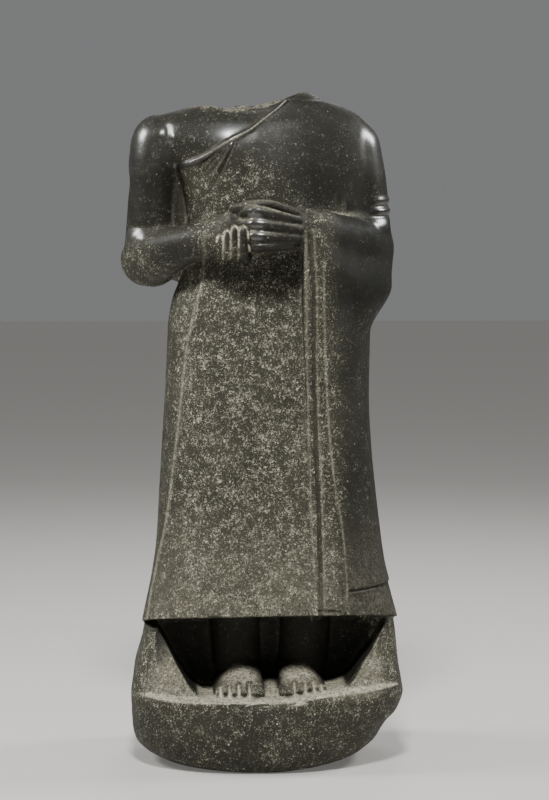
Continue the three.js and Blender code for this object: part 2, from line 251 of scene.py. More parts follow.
def limb(name, stations, up=(0, 0, 1), sides=40, steps=40):
    """A round-ended form on a smooth curve, by stations of x, y, z, half width and half height."""
    stations = np.array(stations, float)
    curve = Curve(stations[:, :3])
    share = np.linspace(0, 1, len(stations))
    wide = Profile(*zip(share, stations[:, 3]))
    tall = Profile(*zip(share, stations[:, 4]))
    cap = np.radians([80, 66, 50, 34, 17])
    count = len(cap)
    t = np.pad(np.linspace(0, 1, steps), count, mode="edge")
    scale = np.concatenate([np.cos(cap), np.ones(steps), np.cos(cap[::-1])])
    reach = np.concatenate([-np.sin(cap), np.zeros(steps), np.sin(cap[::-1])])
    along = curve.tangent(t)
    across = unit(np.cross(along, np.array(up, float)))
    rise = np.cross(across, along)
    bluntness = np.minimum(wide(t), tall(t))
    centre = curve.point(t) + along * (reach * bluntness)[:, None]
    angle = 2 * np.pi * np.arange(sides) / sides
    rings = (
        centre[:, None]
        + across[:, None] * (wide(t) * scale)[:, None, None] * np.cos(angle)[None, :, None]
        + rise[:, None] * (tall(t) * scale)[:, None, None] * np.sin(angle)[None, :, None]
    )
    ends = ((count, -1), (-count - 1, 1))
    tips = [centre[end] + way * along[end] * bluntness[end] for end, way in ends]
    return skin(name, rings, tips)


def apply(obj, kind, **settings):
    """Gives the object a modifier and applies it."""
    pick(obj)
    modifier = obj.modifiers.new("finish", kind)
    for key, value in settings.items():
        setattr(modifier, key, value)
    bpy.ops.object.modifier_apply(modifier=modifier.name)
    return obj


def cut(body, tool):
    """The body less the tool, which is used up."""
    apply(body, "BOOLEAN", operation="DIFFERENCE", solver="MANIFOLD", object=tool)
    bpy.data.objects.remove(tool)
    return body


def joined(objects):
    pick(objects[0])
    for obj in objects:
        obj.select_set(True)
    bpy.ops.object.join()
    return bpy.context.object


class Surface:
    """A mesh's points and edges, with averages over each point's neighbours."""

    def __init__(self, mesh):
        self.mesh = mesh
        self.co = coordinates(mesh)
        pairs = np.empty(len(mesh.edges) * 2, np.int32)
        mesh.edges.foreach_get("vertices", pairs)
        self.pairs = pairs.reshape(-1, 2)

    def normals(self):
        set_coordinates(self.mesh, self.co)
        n = np.empty(len(self.co) * 3, np.float32)
        self.mesh.vertices.foreach_get("normal", n)
        return n.reshape(-1, 3).astype(float)

    def smoothed(self, co, passes, share):
        """The points moved towards their neighbours' middle, only where share is above zero."""
        live = np.flatnonzero(share > 1e-3)
        local = np.full(len(co), -1)
        local[live] = np.arange(len(live))
        a, b = np.concatenate([self.pairs, self.pairs[:, ::-1]]).T
        keep = local[a] >= 0
        a, b = local[a[keep]], b[keep]
        degree = np.maximum(np.bincount(a, minlength=len(live)), 1)
        weight = share[live]
        co = co.copy()
        for _ in range(passes):
            for k in range(co.shape[1]):
                value = co[:, k]
                mean = np.bincount(a, value[b], len(live)) / degree
                value[live] += (mean - value[live]) * weight
        return co


# The robed body


TRUNK = {
    "left": Profile(
        (257, 226), (345, 207), (400, 199), (516, 192), (640, 184), (724, 179), (812, 175), (860, 166),
        (905, 150), (1001, 141), (1084, 155), (1120, 174), (1160, 205), (1181, 205), (1195, 190),
        (1204, 162), (1214, 129), (1250, 100),
    ),
    "right": Profile(
        (257, 251), (322, 233), (374, 220), (444, 210), (514, 202), (584, 195), (680, 190), (804, 192),
        (900, 190), (1000, 188), (1075, 192), (1120, 195), (1160, 195), (1181, 190), (1196, 176),
        (1208, 152), (1220, 118), (1250, 60),
    ),
    "front": Profile(
        (257, 150), (400, 140), (550, 132), (700, 127), (820, 121), (920, 116), (1020, 117), (1090, 115),
        (1140, 106), (1175, 92), (1196, 76), (1214, 66), (1250, 58),
    ),
    "back": Profile(
        (257, 152), (400, 140), (550, 132), (700, 128), (820, 126), (920, 127), (1020, 131), (1090, 130),
        (1140, 121), (1175, 106), (1196, 93), (1214, 82), (1250, 66),
    ),
    "square": Profile((257, 2.8), (500, 2.6), (800, 2.5), (1000, 2.6), (1120, 2.7), (1190, 2.4),
                      (1250, 2.2)),
}

panel_x = Profile(
    (257, -221), (347, -204), (388, -196), (457, -181), (525, -172), (639, -158), (752, -146), (824, -133),
    (905, -112),
)
border_x = Profile((257, 88), (315, 88), (442, 83), (719, 74), (866, 69), (986, 67))
groove_start = Profile((257, 95), (305, 95), (441, 94), (576, 89), (757, 83), (866, 81), (938, 76),
                       (1000, 74))
groove_end = Profile((257, 104), (305, 104), (441, 102), (576, 97), (757, 90), (866, 88), (938, 83),
                     (1000, 80))
shawl_x = Profile((257, 150), (335, 148), (440, 140), (533, 124), (716, 109), (891, 101), (986, 97))

NECKLINE = (
    (-160, 1102), (-133, 1108), (-108, 1118), (-77, 1137), (-58, 1147), (-44, 1154), (-25, 1165),
    (-10, 1177), (3, 1187), (24, 1203), (42, 1220),
)
neck_z = Profile(*NECKLINE)

hang_line = Curve(
    ((64, -187, 986), (92, -184, 983), (118, -174, 976), (160, -138, 963), (206, -86, 956), (236, -38, 950),
     (243, 6, 948))
)


def turned(along, sides, start=-np.pi):
    """Grids of the places along a form and of the angles round it."""
    return np.meshgrid(along, np.linspace(start, start + 2 * np.pi, sides, endpoint=False), indexing="ij")


def section(angle, z, outline):
    """A point of a rounded-box outline in the XY plane, with its own reach on each of the four sides."""
    cos, sin = np.cos(angle), np.sin(angle)
    power = 2 / outline["square"](z)
    x = np.sign(cos) * np.abs(cos) ** power * np.where(cos < 0, outline["left"](z), outline["right"](z))
    y = np.sign(sin) * np.abs(sin) ** power * np.where(sin < 0, outline["front"](z), outline["back"](z))
    return points(x, y, z)


def trunk_point(angle, z, lift=0.0):
    """A point of the trunk's skin, moved out of the stone by lift."""
    point = section(angle, z, TRUNK)
    around = section(angle + 0.02, z, TRUNK) - section(angle - 0.02, z, TRUNK)
    upward = section(angle, z + 4, TRUNK) - section(angle, z - 4, TRUNK)
    return point + unit(np.cross(around, upward)) * np.asarray(lift)[..., None]


def front_angle(x, z):
    """The angle round the trunk where its front has a given x."""
    reach = np.where(x < 0, TRUNK["left"](z), TRUNK["right"](z))
    share = np.minimum(np.abs(x) / reach, 0.999) ** (TRUNK["square"](z) / 2)
    return -np.arccos(np.sign(x) * share)


def hem_z(x, y):
    return HEM_Z + HEM_RISE * np.maximum(0, -y) + 0.012 * x


def flesh(x, z, front):
    """The chest, belly, shoulder blades and spine over the trunk's plain form."""
    before = (
        mound(x, z, (-66, 1152), (50, 40), 8)
        + mound(x, z, (75, 1196), (62, 44), 6)
        + mound(x, z, (0, 800), (110, 110), 3)
    )
    behind = mound(np.abs(x), z, (95, 1110), (50, 55), 4) + mound(x, z, (0, 1060), (22, 120), -3.5)
    return np.where(front, before, behind)


def trunk_lift(angle, z):
    """How far the robe's layers and the body's forms stand off the trunk's plain skin."""
    x = section(angle, z, TRUNK)[..., 0]
    front = np.sin(angle) < 0
    panel = CLOTH * step(x - panel_x(z)) * (1 - ease(x, 95, 130)) * (1 - ease(z, 885, 925))
    cloth = 2.5 * step(neck_z(np.minimum(x, 40)) - z, 5) * ease(z, 930, 1010) * (x > -178)
    u = (angle + 0.1) / 3.0
    hem = mix(333, 326, u)
    v = (z - hem) / (835 - hem)
    reach = (1 - ease(u, 0.55, 1)) * (1 - np.clip(v, 0, 1) ** 5)
    rear = (2 * CLOTH + 0.5) * reach * step(z - hem) * (u > 0) * (u < 1)
    return np.where(front & (u <= 0), panel, rear) + cloth + flesh(x, z, front)


def trunk():
    runs = (np.linspace(HEM_Z, 1120, 340), np.linspace(1122, 1250, 60))
    z, angle = turned(np.concatenate(runs), 660)
    rings = trunk_point(angle, z, trunk_lift(angle, z))
    drop = np.clip(1 - (z - HEM_Z) / 60, 0, 1) ** 1.5
    rings[..., 2] += (hem_z(rings[..., 0], rings[..., 1]) - HEM_Z) * drop
    return skin("robe", rings)


def shoulders():
    return [
        limb("bare_shoulder", [(-70, 6, 1128, 92, 66), (-120, 6, 1136, 84, 62), (-160, 5, 1141, 73, 56),
                               (-190, 3, 1140, 63, 53)], sides=72),
        limb("draped_shoulder", [(60, 6, 1130, 92, 66), (115, 6, 1136, 84, 60), (148, 5, 1139, 73, 56),
                                 (169, 4, 1134, 62, 52)], sides=72),
    ]


def bare_arm():
    upper = [(-187, 3, 1146, 54, 63), (-196, 7, 1100, 50, 65), (-201, 11, 1042, 47, 65),
             (-202, 14, 985, 50, 66), (-204, 15, 934, 54, 62)]
    fore = [(-213, 21, 930, 50, 49), (-187, -34, 943, 46, 45), (-150, -82, 958, 40, 37),
            (-118, -112, 966, 36, 34), (-84, -134, 973, 33, 35)]
    web = [(-140, 22, 1110, 40, 62), (-146, 22, 1010, 40, 62), (-150, 22, 925, 36, 58)]
    return [
        limb("bare_upper_arm", upper, up=(0, 1, 0), sides=72),
        limb("bare_forearm", fore, sides=72),
        limb("bare_web", web, up=(0, 1, 0), sides=60),
    ]


def draped_arm():
    upper = [(168, 4, 1138, 52, 63), (179, 7, 1090, 50, 67), (185, 10, 1040, 50, 70),
             (189, 11, 985, 52, 72), (191, 10, 930, 54, 72), (186, 8, 885, 53, 64)]
    fore = [(196, 2, 951, 52, 58), (165, -58, 959, 50, 52), (125, -108, 970, 44, 46),
            (92, -140, 981, 38, 43), (70, -154, 986, 33, 40)]
    return [
        limb("draped_upper_arm", upper, up=(0, 1, 0), sides=72),
        limb("draped_forearm", fore, sides=72),
    ]


def drape_point(s, z, lift):
    """The cloth hung from the draped arm, by the share s of the way from its free edge to the elbow."""
    angle = mix(front_angle(border_x(z), z), 0, s)
    robe = trunk_point(angle, z, lift)
    hung = hang_line.point(s)
    low = mix(570, 795, ease(s, 0, 0.5))
    high = mix(990, 882, ease(s, 0, 0.7))
    share = ease(z, low, high)
    x = mix(robe[..., 0], hung[..., 0], share)
    y = mix(robe[..., 1], hung[..., 1] - 0.4 * lift, share)
    return points(x, y, z)


def drape():
    """The hanging cloth with its border, and the shawl's outer layer over it with a hem of its own."""

    def height(u, v):
        foot = drape_point(u, HEM_Z + 22, 0)
        clear = 10 * (1 - ease(foot[..., 0], 125, 165))
        low = hem_z(foot[..., 0], foot[..., 1]) + clear
        return mix(low, hang_line.point(u)[..., 2], v)

    def outer(u, v):
        z = height(u, v)
        x = drape_point(u, z, 0)[..., 0]
        hem = mix(320, 333, ease(x, 148, 236))
        layer = CLOTH * step(x - shawl_x(z)) * step(z - hem)
        tuck = 32 * ease(v, 0.9, 1) * ease(x, 90, 122)
        return drape_point(u, z, CLOTH + 1 + layer - tuck)

    def inner(u, v):
        z = height(u, v)
        return trunk_point(mix(front_angle(border_x(z), z), 0, u), z, -INSET)

    return slab("drape", 240, 330, outer, inner)


def rolled_edge():
    x, z = np.array(NECKLINE, float).T
    angle = front_angle(x, z)
    over = trunk_point(angle, z, 1.5 + flesh(x, z, True))
    behind = trunk_point(-angle, z, 1.5 + flesh(x, z, False))
    runs = [[(*point, ROLL, ROLL) for point in path] for path in (over, behind)]
    return [limb("rolled_edge", run, sides=20, steps=110) for run in runs]


# The hands


# The upper hand's straight fingers, from knuckle to tip
FINGERS = (
    ((-46, -184, 1015, 11, 11), (-34, -190, 1018, 11.5, 12), (-22, -198, 1019, 12, 12),
     (-5, -202, 1017, 11, 11), (11, -204, 1013, 10.2, 10), (36, -203, 1007.5, 9, 8.6),
     (56, -197, 1004.5, 7, 6.6)),
    ((-46, -184, 996, 10, 10), (-34, -190, 996, 10, 10), (-22, -199, 997, 10.6, 10.4),
     (-4, -203, 996, 9.6, 9.6), (18, -205, 992.5, 9.6, 9.4), (40, -204, 989, 8.8, 8.8),
     (60, -198, 986.5, 7.6, 7.6)),
    ((-46, -184, 975, 10, 10), (-34, -189, 975, 9.8, 9.8), (-21, -198, 975.5, 10.4, 10.2),
     (-3, -202, 974.6, 9.4, 9.4), (18, -204, 973.5, 9.2, 9.0), (40, -203, 972, 8.4, 8.4),
     (59, -197, 970.5, 7, 7)),
    ((-44, -182, 956, 9, 9), (-32, -185, 955.5, 9, 9), (-20, -193, 956, 9.6, 9.4),
     (-3, -197, 957, 8.6, 8.6), (17, -198, 958, 8.4, 8.2), (38, -197, 958.5, 7.6, 7.4),
     (52, -192, 959, 6.4, 6.2)),
)

# The other hand's fingertips, by their middle, their top and their half width
FINGERTIPS = ((-84.3, 976.5, 5.0), (-71.6, 985, 5.2), (-58.3, 993, 5.6), (-42.8, 992.5, 7.6))


# How much further back the hands lie to the sides of the knuckles, which stand out most
recess = Profile((-118, 28), (-84, 36), (-58, 22), (-43, 13), (-22, 0), (5, 0), (36, 6), (60, 14), (90, 12))


def hands():
    def set_back(stations):
        return [(x, y + recess(x), *rest) for x, y, *rest in stations]

    parts = [
        limb("under_hand", [(-70, -104, 970, 44, 34), (0, -136, 984, 50, 38), (55, -132, 987, 44, 38),
                            (85, -132, 986, 38, 38)], sides=64),
        limb("back_of_hand", set_back([(-100, -152, 974, 30, 34), (-66, -174, 981, 24, 38),
                                       (-38, -180, 988, 15, 40)]), sides=64),
        limb("hand_top", [(-40, -150, 1022, 12, 14), (-12, -152, 1024, 20, 17), (18, -150, 1021, 22, 16),
                          (45, -148, 1012, 22, 16), (70, -145, 1004, 20, 16)], sides=40),
        limb("hand_bed", [(-30, -130, 1010, 20, 13), (20, -132, 1012, 20, 13), (66, -128, 1002, 18, 13)],
             sides=32),
        limb("thumb", [(-61, -180, 1024.5, 8, 9.5), (-50, -181, 1025.5, 8, 9), (-34, -180, 1029.5, 9, 9.6),
                       (-12, -179, 1030.5, 9.5, 9.5), (8, -177, 1030, 9.5, 9.5), (26, -171, 1024, 11, 10),
                       (48, -162, 1015, 13, 12)], sides=36),
        limb("wrist_bump", [(42, -164, 1022, 7, 7), (58, -168, 1017, 8, 7), (68, -172, 1010, 7, 6)],
             sides=24, steps=14),
    ]
    for stations in FINGERS:
        parts.append(limb("finger", set_back(stations), sides=32, steps=56))
    for x, top, r in FINGERTIPS:
        back = recess(x)
        path = [(x + 12, back - 152, 940, r, r), (x + 5, back - 180, 935, r, r),
                (x + 1.5, back - 197, 940, r, r + 1), (x, back - 205, 956, r, 7),
                (x, back - 206, top - 16, r, 7), (x, back - 205, top - r, r * 0.96, 6)]
        parts.append(limb("fingertip", path, up=(1, 0, 0.01), sides=28, steps=50))
    return parts


# The feet and the base


BASE = {
    "left": Profile(
        (0, 152), (6, 188), (25, 221), (46, 239), (74, 244), (127, 246), (174, 239), (205, 231), (227, 225),
        (262, 220),
    ),
    "right": Profile(
        (0, 92), (6, 142), (16, 178), (40, 212), (73, 231), (93, 250), (129, 260), (190, 253), (240, 249),
        (262, 246),
    ),
    "front": Profile(
        (0, 166), (6, 176), (25, 185), (60, 188), (100, 185), (124, 180), (130, 176), (132, 170),
        (135, 160), (146, 149), (165, 139), (200, 127), (262, 108),
    ),
    "back": Profile((0, 150), (6, 164), (25, 175), (60, 183), (130, 185), (200, 176), (262, 161)),
    "square": Profile((0, 2.4), (40, 2.7), (110, 3.3), (135, 4), (200, 3.8), (262, 3.2)),
}

# Each foot: which way its outer side lies, its ankle, its inner and outer edges, and its toes by their
# middle, half width and tip
FEET = (
    (-1, -52, -1.5, -95, ((-15.3, 12.6, -147), (-39.3, 8.2, -138), (-57.5, 7.2, -136), (-74.2, 6.8, -132),
                          (-88.5, 5.2, -125))),
    (1, 79, 24, 116, ((38.5, 13.2, -148), (63.5, 8.6, -138), (81.3, 6.6, -130), (96.3, 6.0, -126),
                      (109.7, 5.0, -121))),
)
TOES = [toe for *_, toes in FEET for toe in toes]

# The narrow gap between the hem and the base on the bare side, by its low and its high corner
HEM_GAP = np.array([(-280, -260, 253.5), (-198, 20, NICHE_TOP)])


ledge_rise = Profile(
    (-230, 7), (-149, 1.5), (-60, 0), (10, 0), (38, 1.5), (62, 4), (80, 6.5), (110, 10.5), (151, 15),
    (230, 21),
)


def base():
    runs = (np.linspace(0, 118, 44), np.linspace(120, 150, 31), np.linspace(153, 266, 46))
    z, angle = turned(np.concatenate(runs), 480)
    rings = section(angle, z, BASE)
    share = ease(-rings[..., 1], 40, 130) * ease(z, 60, LEDGE_Z) * (1 - ease(z, LEDGE_Z + 10, 262))
    rings[..., 2] += ledge_rise(rings[..., 0]) * share
    return skin("base", rings)


def floor_z(x):
    return LEDGE_Z + 3 + ledge_rise(x)


def hem_notch():
    bpy.ops.mesh.primitive_cube_add(size=1)
    obj = bpy.context.object
    obj.name = "notch"
    set_coordinates(obj.data, mix(*HEM_GAP, coordinates(obj.data) + 0.5))
    return obj


def niche():
    """The hollow round the feet, an arch upside down that is cut straight back into the base."""

    def corner(a, b, c):
        t = np.linspace(0, 1, 10)[1:-1, None]
        return (1 - t) ** 2 * np.array(a) + 2 * t * (1 - t) * np.array(b) + t**2 * np.array(c)

    left = ((-200, 259), (-180, 227), (-162, 192), (-143, 160))
    right = ((163, 168), (180, 194), (204, 226), (226, 262))
    t = np.linspace(0, 1, 24)
    across = np.linspace(-112, 118, 40)
    floor = np.stack([across, floor_z(across)], axis=-1)
    outline = np.concatenate([
        [(-206, NICHE_TOP)], Curve(left).point(t), corner(left[-1], (-134, 144), floor[0]),
        floor, corner(floor[-1], (150, 150), right[0]), Curve(right).point(t), [(232, NICHE_TOP)],
    ])
    x, z = outline.T
    places = (NICHE_FRONT, -200, -110, NICHE_BACK)
    rings = np.stack([points(x, y, z) for y in places])
    return skin("niche", rings, [np.array([x.mean(), y, 220.0]) for y in (NICHE_FRONT, NICHE_BACK)])


instep_z = Profile((-118, 159), (-105, 168), (-90, 176), (-75, 182), (-60, 188), (-45, 196), (-15, 212))


def arch_z(across, y):
    """The height of a foot's top, by y and by the place across it from -1 on its inner side to 1."""
    peak = -0.42
    away = np.where(across > peak, (across - peak) / (1 - peak), (peak - across) / (1 + peak))
    fall = (1 - np.clip(away, 0, 1) ** 2) ** np.where(across > peak, 0.72, 0.3)
    return 138 + (instep_z(y) - 138) * fall


def foot(side, inner, outer):
    """The arch of a foot: steep on its inner side, and falling away to the little toe."""
    sole = 126.0
    y, angle = turned(np.linspace(-116, -12, 54), 96, 0.0)
    s = np.cos(angle)
    across = np.sign(s) * np.abs(s) ** 0.8
    rise = np.clip(np.sin(angle) * 3, 0, 1)
    z = sole + (arch_z(across, y) + ledge_rise(inner) - sole) * rise
    return skin("foot", points((inner + outer) / 2 + side * abs(outer - inner) / 2 * across, y, z))


def toe(side, inner, outer, x, width, tip):
    """A toe that runs on from the foot's arch and comes down to the ledge."""
    middle, half = (inner + outer) / 2, abs(outer - inner) / 2
    across = side * (x - middle) / half
    ground = floor_z(x)
    end = ground + 6 + 0.75 * width
    stations = []
    for y in (-92, -106, -118):
        top = arch_z(across, y) + ledge_rise(inner) - 0.5
        stations.append((mix(middle, x, ease(y, -60, -118)), y, top - 15, width, 15))
    front = tip + 0.9 * width
    knuckle = mix(top, end, 0.45)
    stations.append((x, mix(-118, front, 0.5), mix(knuckle + 1 - 12, ground, 0.1), width, 12))
    stations.append((x, front, end - 10, width, 10))
    return limb("toe", stations, sides=28, steps=40)


def feet():
    parts = []
    for side, ankle, inner, outer, toes in FEET:
        leg = [(ankle, -16, 300, 48, 44), (ankle, -18, 240, 47, 42), (ankle - side * 2, -24, 190, 45, 42)]
        parts.append(limb("leg", leg, up=(0, 1, 0), sides=60))
        parts.append(foot(side, inner, outer))
        parts += [toe(side, inner, outer, *each) for each in toes]
    between = [(11.5, -158, 117, 22, 13), (11.5, -120, 128, 22, 14), (11.5, -70, 136, 24, 15),
               (11.5, -14, 143, 24, 16)]
    parts.append(limb("stone_between_feet", between, sides=32))
    return parts


# The break


LIP_FRONT = Profile(
    (-170, 1232), (-132, 1214), (-90, 1212), (-72, 1207), (-50, 1204), (-27, 1205), (4, 1210), (28, 1218),
    (47, 1229), (70, 1238), (100, 1262),
)
LIP_BACK = Profile(
    (-170, 1232), (-120, 1212), (-73, 1210), (-42, 1215), (-7, 1220), (17, 1226), (45, 1229), (70, 1236),
    (100, 1262),
)


def break_height(x, y):
    """The break at the neck: an uneven face that climbs to the back and to a peak on the draped side."""
    uneven = 2 * np.sin(x / 15 + 1) * np.cos(y / 19) + 1.3 * np.sin(x / 8 - y / 11)
    hollow = mound(x, y, (-15, 10), (50, 40), -7) + mound(x, y, (12, -40), (26, 20), -5)
    uneven = uneven * mix(0.3, 1, ease(y, -72, -45))
    return np.minimum(mix(LIP_FRONT(x), LIP_BACK(x), ease(y, -75, 60)) + uneven + hollow, PEAK_Z + 40)


def neck_break():
    """All the stone that is gone above the break."""

    def place(u, v):
        return mix(-200, 140, u), mix(-140, 140, v)

    def lower(u, v):
        x, y = place(u, v)
        p = points(x, y, 0)
        return points(x, y, break_height(x, y) + (3 * ripple(p, 14, 3) + 2 * ripple(p, 6, 4)))

    def upper(u, v):
        return points(*place(u, v), PEAK_Z + 60)

    return slab("break", 160, 130, upper, lower)


# Relief, as functions of place in the drawing frame


def near(co, centre, radius):
    distance = np.linalg.norm((co - np.array(centre, float)) / np.array(radius, float), axis=1)
    return 1 - ease(distance, 0.35, 1)


def within(co, places):
    return np.max([near(co, centre, radius) for centre, radius in places], axis=0)


# Places where one form runs into the next, by their middle and reach
SOFT_PLACES = (
    ((-180, 0, 1150), (75, 95, 75)),
    ((165, 0, 1150), (75, 95, 75)),
    ((-178, 10, 1085), (60, 90, 70)),
    ((-195, -10, 975), (55, 70, 42)),
    ((-105, -122, 966), (48, 48, 40)),
    ((205, -20, 950), (70, 80, 90)),
    ((175, 40, 1040), (70, 80, 120)),
    ((200, 0, 850), (70, 90, 60)),
    ((112, -140, 985), (50, 60, 36)),
    ((155, -118, 958), (58, 60, 42)),
    ((-160, 60, 960), (70, 70, 90)),
    ((-48, -75, 190), (55, 42, 34)),
    ((70, -75, 190), (55, 42, 34)),
    ((-30, -150, 990), (30, 30, 30)),
    ((192, -62, 1070), (60, 60, 110)),
    ((192, -62, 1010), (50, 60, 60)),
)

# Places where small forms stay sharp
CRISP_PLACES = (((12, -130, 150), (140, 50, 40)), ((0, -200, 985), (110, 35, 60)))

# Cuts that hold light dust: beside the curled fingertips, by their line in x and z, and between the toes,
# by their x and by how far back and up they reach
TIP_SEAMS = (
    ((-78.3, 931), (-78.3, 972)),
    ((-65.3, 931), (-65.3, 980)),
    ((-51.6, 931), (-51.4, 987)),
    ((-90, 966), (-88, 975), (-84, 978), (-80, 975), (-78.3, 968)),
    ((-78, 974), (-76, 983), (-71.6, 986.5), (-67, 983), (-65.3, 976)),
    ((-65, 982), (-63, 991), (-58.3, 994.5), (-53.5, 991), (-51.5, 984)),
    ((-51.2, 984), (-48, 992), (-42.8, 994.5), (-37, 990), (-35, 978), (-34, 962), (-31, 945), (-23, 936)),
)
TOE_GAPS = (
    (-29.5, -118, 160), (-49, -118, 160), (-66, -118, 158), (-82.5, -116, 156),
    (53, -118, 161), (73.2, -117, 166), (89, -116, 168), (103.5, -113, 165),
)

# Grooves that fan out from the rolled edge over the chest, by their line in x and z, their depth and width
FOLDS = (
    (((-51, 1147), (-60, 1129), (-72, 1104), (-83, 1082), (-94, 1063), (-97, 1046)), 5.0, 3.2),
    (((-63, 1140), (-79, 1114), (-92, 1095), (-108, 1076)), 3.8, 2.4),
    (((-70, 1137), (-85, 1118), (-99, 1102), (-119, 1080)), 3.2, 2.2),
    (((-82, 1132), (-96, 1118), (-109, 1102), (-124, 1087)), 3.4, 2.4),
    (((-97, 1122), (-107, 1110), (-117, 1098)), 2.4, 2.4),
)

# The sleeve's folds over the bent elbow, by their height, depth and width
SLEEVE_FOLDS = ((1041, 2.4, 6), (1031, -1.8, 4), (1022, 2.4, 5.5), (1012, -2.2, 4))

# Each undercut hem: its height at its left and right ends, the x of those ends, its depth and its width
UNDERCUTS = (((294.7, 290.6), 92, 138, 4.5, 1.9), ((328, 333), 150, 262, 6.5, 2.8))


def beside(x, z, path):
    """How far points lie to the side of a drawn line, and the share of the way along it."""
    path = np.array(path, float)
    best = np.full(x.shape, 1e6)
    signed, share = best.copy(), np.zeros(x.shape)
    lengths = np.linalg.norm(np.diff(path, axis=0), axis=1)
    passed = 0.0
    for a, b, length in zip(path[:-1], path[1:], lengths):
        d = (b - a) / length
        t = np.clip((x - a[0]) * d[0] + (z - a[1]) * d[1], 0, length)
        away = np.hypot(x - a[0] - t * d[0], z - a[1] - t * d[1])
        sign = np.sign((x - a[0]) * d[1] - (z - a[1]) * d[0])
        closer = away < best
        best = np.where(closer, away, best)
        signed = np.where(closer, away * sign, signed)
        share = np.where(closer, (passed + t) / lengths.sum(), share)
        passed += length
    return signed, share


def folds(co, front):
    x, y, z = co.T
    lift = np.zeros(len(co))
    live = np.flatnonzero((front > 0) & (y < -50) & (z > 1030) & (z < 1165) & (x > -150) & (x < -30))
    below = ease(neck_z(x[live]) - z[live], 1, 5)
    for path, depth, width in FOLDS:
        away, share = beside(x[live], z[live], path)
        spread = width * mix(0.8, 2.0, share)
        fade = ease(share, 0.0, 0.12) * (1 - ease(share, 0.55, 1))
        groove = 0.55 * bell(away, 2.2 * spread, 1.2 * spread) - bell(away, 0, spread)
        lift[live] += depth * fade * groove * below
    return lift * front


def seams(co):
    """How deep each point lies in a dusty cut, from 0 to 1."""
    x, y, z = co.T
    depth = np.zeros(len(co))
    tips = np.flatnonzero((y < recess(x) - 186) & (z > 925) & (z < 1000) & (x > -95) & (x < -18))
    for path in TIP_SEAMS:
        away, _ = beside(x[tips], z[tips], path)
        depth[tips] = np.maximum(depth[tips], bell(away, 0, 1.5))
    toes = np.flatnonzero((y < -104) & (y > -156) & (z > LEDGE_Z + 2) & (z < 176) & (x > -100) & (x < 122))
    for gap, back, top in TOE_GAPS:
        inside = ease(top - z[toes], -4, 8) * ease(back - y[toes], -8, 2)
        width = mix(1.5, 2.7, ease(top - z[toes], 2, 24))
        depth[toes] = np.maximum(depth[toes], inside * bell(x[toes], gap, width))
    return depth


def nail(co, centre, half_width, half_length, down, height):
    """A nail raised on a fingertip or a toe: its middle, its half sizes, and the way that it runs."""
    d = co - np.array(centre, float)
    down = np.array(down, float) / np.linalg.norm(down)
    lengthwise = d @ down
    reach = np.hypot(d[:, 0] / half_width, lengthwise / half_length)
    off = np.linalg.norm(d - lengthwise[:, None] * down, axis=1)
    return height * (1 - ease(reach, 0.82, 1.05)) * (off < half_width * 1.6)


def border_strip(co, front):
    """The border's sunk strip."""
    x, y, z = co.T
    robe = front * (z < 1010) * (z > 262) * (x > 55) * (x < 130) * (y < -100)
    return -3.2 * robe * step(x - groove_start(z), 3) * (1 - step(x - groove_end(z), 3))


def bare_shoulder_forms(co, front):
    """The dip between the bare shoulder and the breast, and the end of the shoulder's muscle."""
    x, _, z = co.T
    lift = -2.0 * front * mound(x, z, (-177, 1152), (7, 26))
    lift += 2.4 * front * (mound(x, z, (-190, 1161), (9, 12)) + mound(x, z, (-163, 1153), (8, 10)))
    lift -= 2.5 * ease(-x, 205, 235) * mound(x, z, (-245, 1074), (60, 20))
    lift += 1.5 * ease(-x, 150, 200) * mound(x, z, (-235, 1120), (60, 26))
    return lift


def sleeve_folds(co):
    """The sleeve's folds over the bent elbow."""
    x, y, z = co.T
    sleeve = ease(x, 186, 214) * ease(y, -88, -48) * (1 - ease(y, -8, 30))
    lift = np.zeros(len(co))
    for height, depth, width in SLEEVE_FOLDS:
        lift += sleeve * depth * bell(z - height, 0.05 * (y + 20), width)
    return lift


def elbows(co, facing):
    """The bent elbows, which stand out below the upper arms."""
    x, y, z = co.T
    before = ease(facing, 0.15, 0.6)
    draped = 5.5 * (ease(x, 165, 205) * bell(z, 992, 16)) * ease(-y, -10, 30) * before
    bare = bell(z, 968, 13) - 0.8 * bell(z, 991, 7)
    return draped + 4.0 * bare * ease(-x, 190, 225) * ease(-y, -15, 15) * before


def undercut_hems(co, front):
    """The undercuts below the ends of the border and of the shawl's outer layer."""
    x, y, z = co.T
    lift = np.zeros(len(co))
    for path, left, right, depth, width in UNDERCUTS:
        height = mix(*path, np.clip((x - left) / (right - left), 0, 1))
        reach = ease(x, left - 2, left + 8) * (1 - ease(x, right - 6, right + 4)) * (y < 0)
        lift -= depth * reach * front * bell(z, height, width)
    return lift


def in_base(z):
    return 1 - ease(z, 235, 262)


def boulder(co, upward):
    """The base's unevenness, and chips along its ledge."""
    x, y, z = co.T
    stone = in_base(z)
    floor = ease(z, 118, 133) * ease(-y, 20, 60) * (np.abs(x) < 222) * ease(upward, 0.1, 0.5)
    outside = stone * (1 - floor) * ease(z, 3, 30)
    lift = outside * (5.0 * ripple(co, 90, 1) + 2.4 * ripple(co, 36, 2))
    lift += stone * 0.9 * ripple(co, 12, 5) * ease(z, 2, 10)
    rim = bell(z - LEDGE_Z, ledge_rise(x), 7) * ease(-y, 150, 168) * (np.abs(x) < 235)
    return lift - rim * 3.4 * ease(noise(co, 15, 7), 0.56, 0.8)


def handwork(co):
    """The figure's slight unevenness, and its chipped hem."""
    x, y, z = co.T
    hem = bell(z, hem_z(x, y), 5) * (y < 40)
    return (1 - in_base(z)) * 0.9 * ripple(co, 46, 6) - hem * 2.2 * ease(noise(co, 11, 8), 0.6, 0.8)


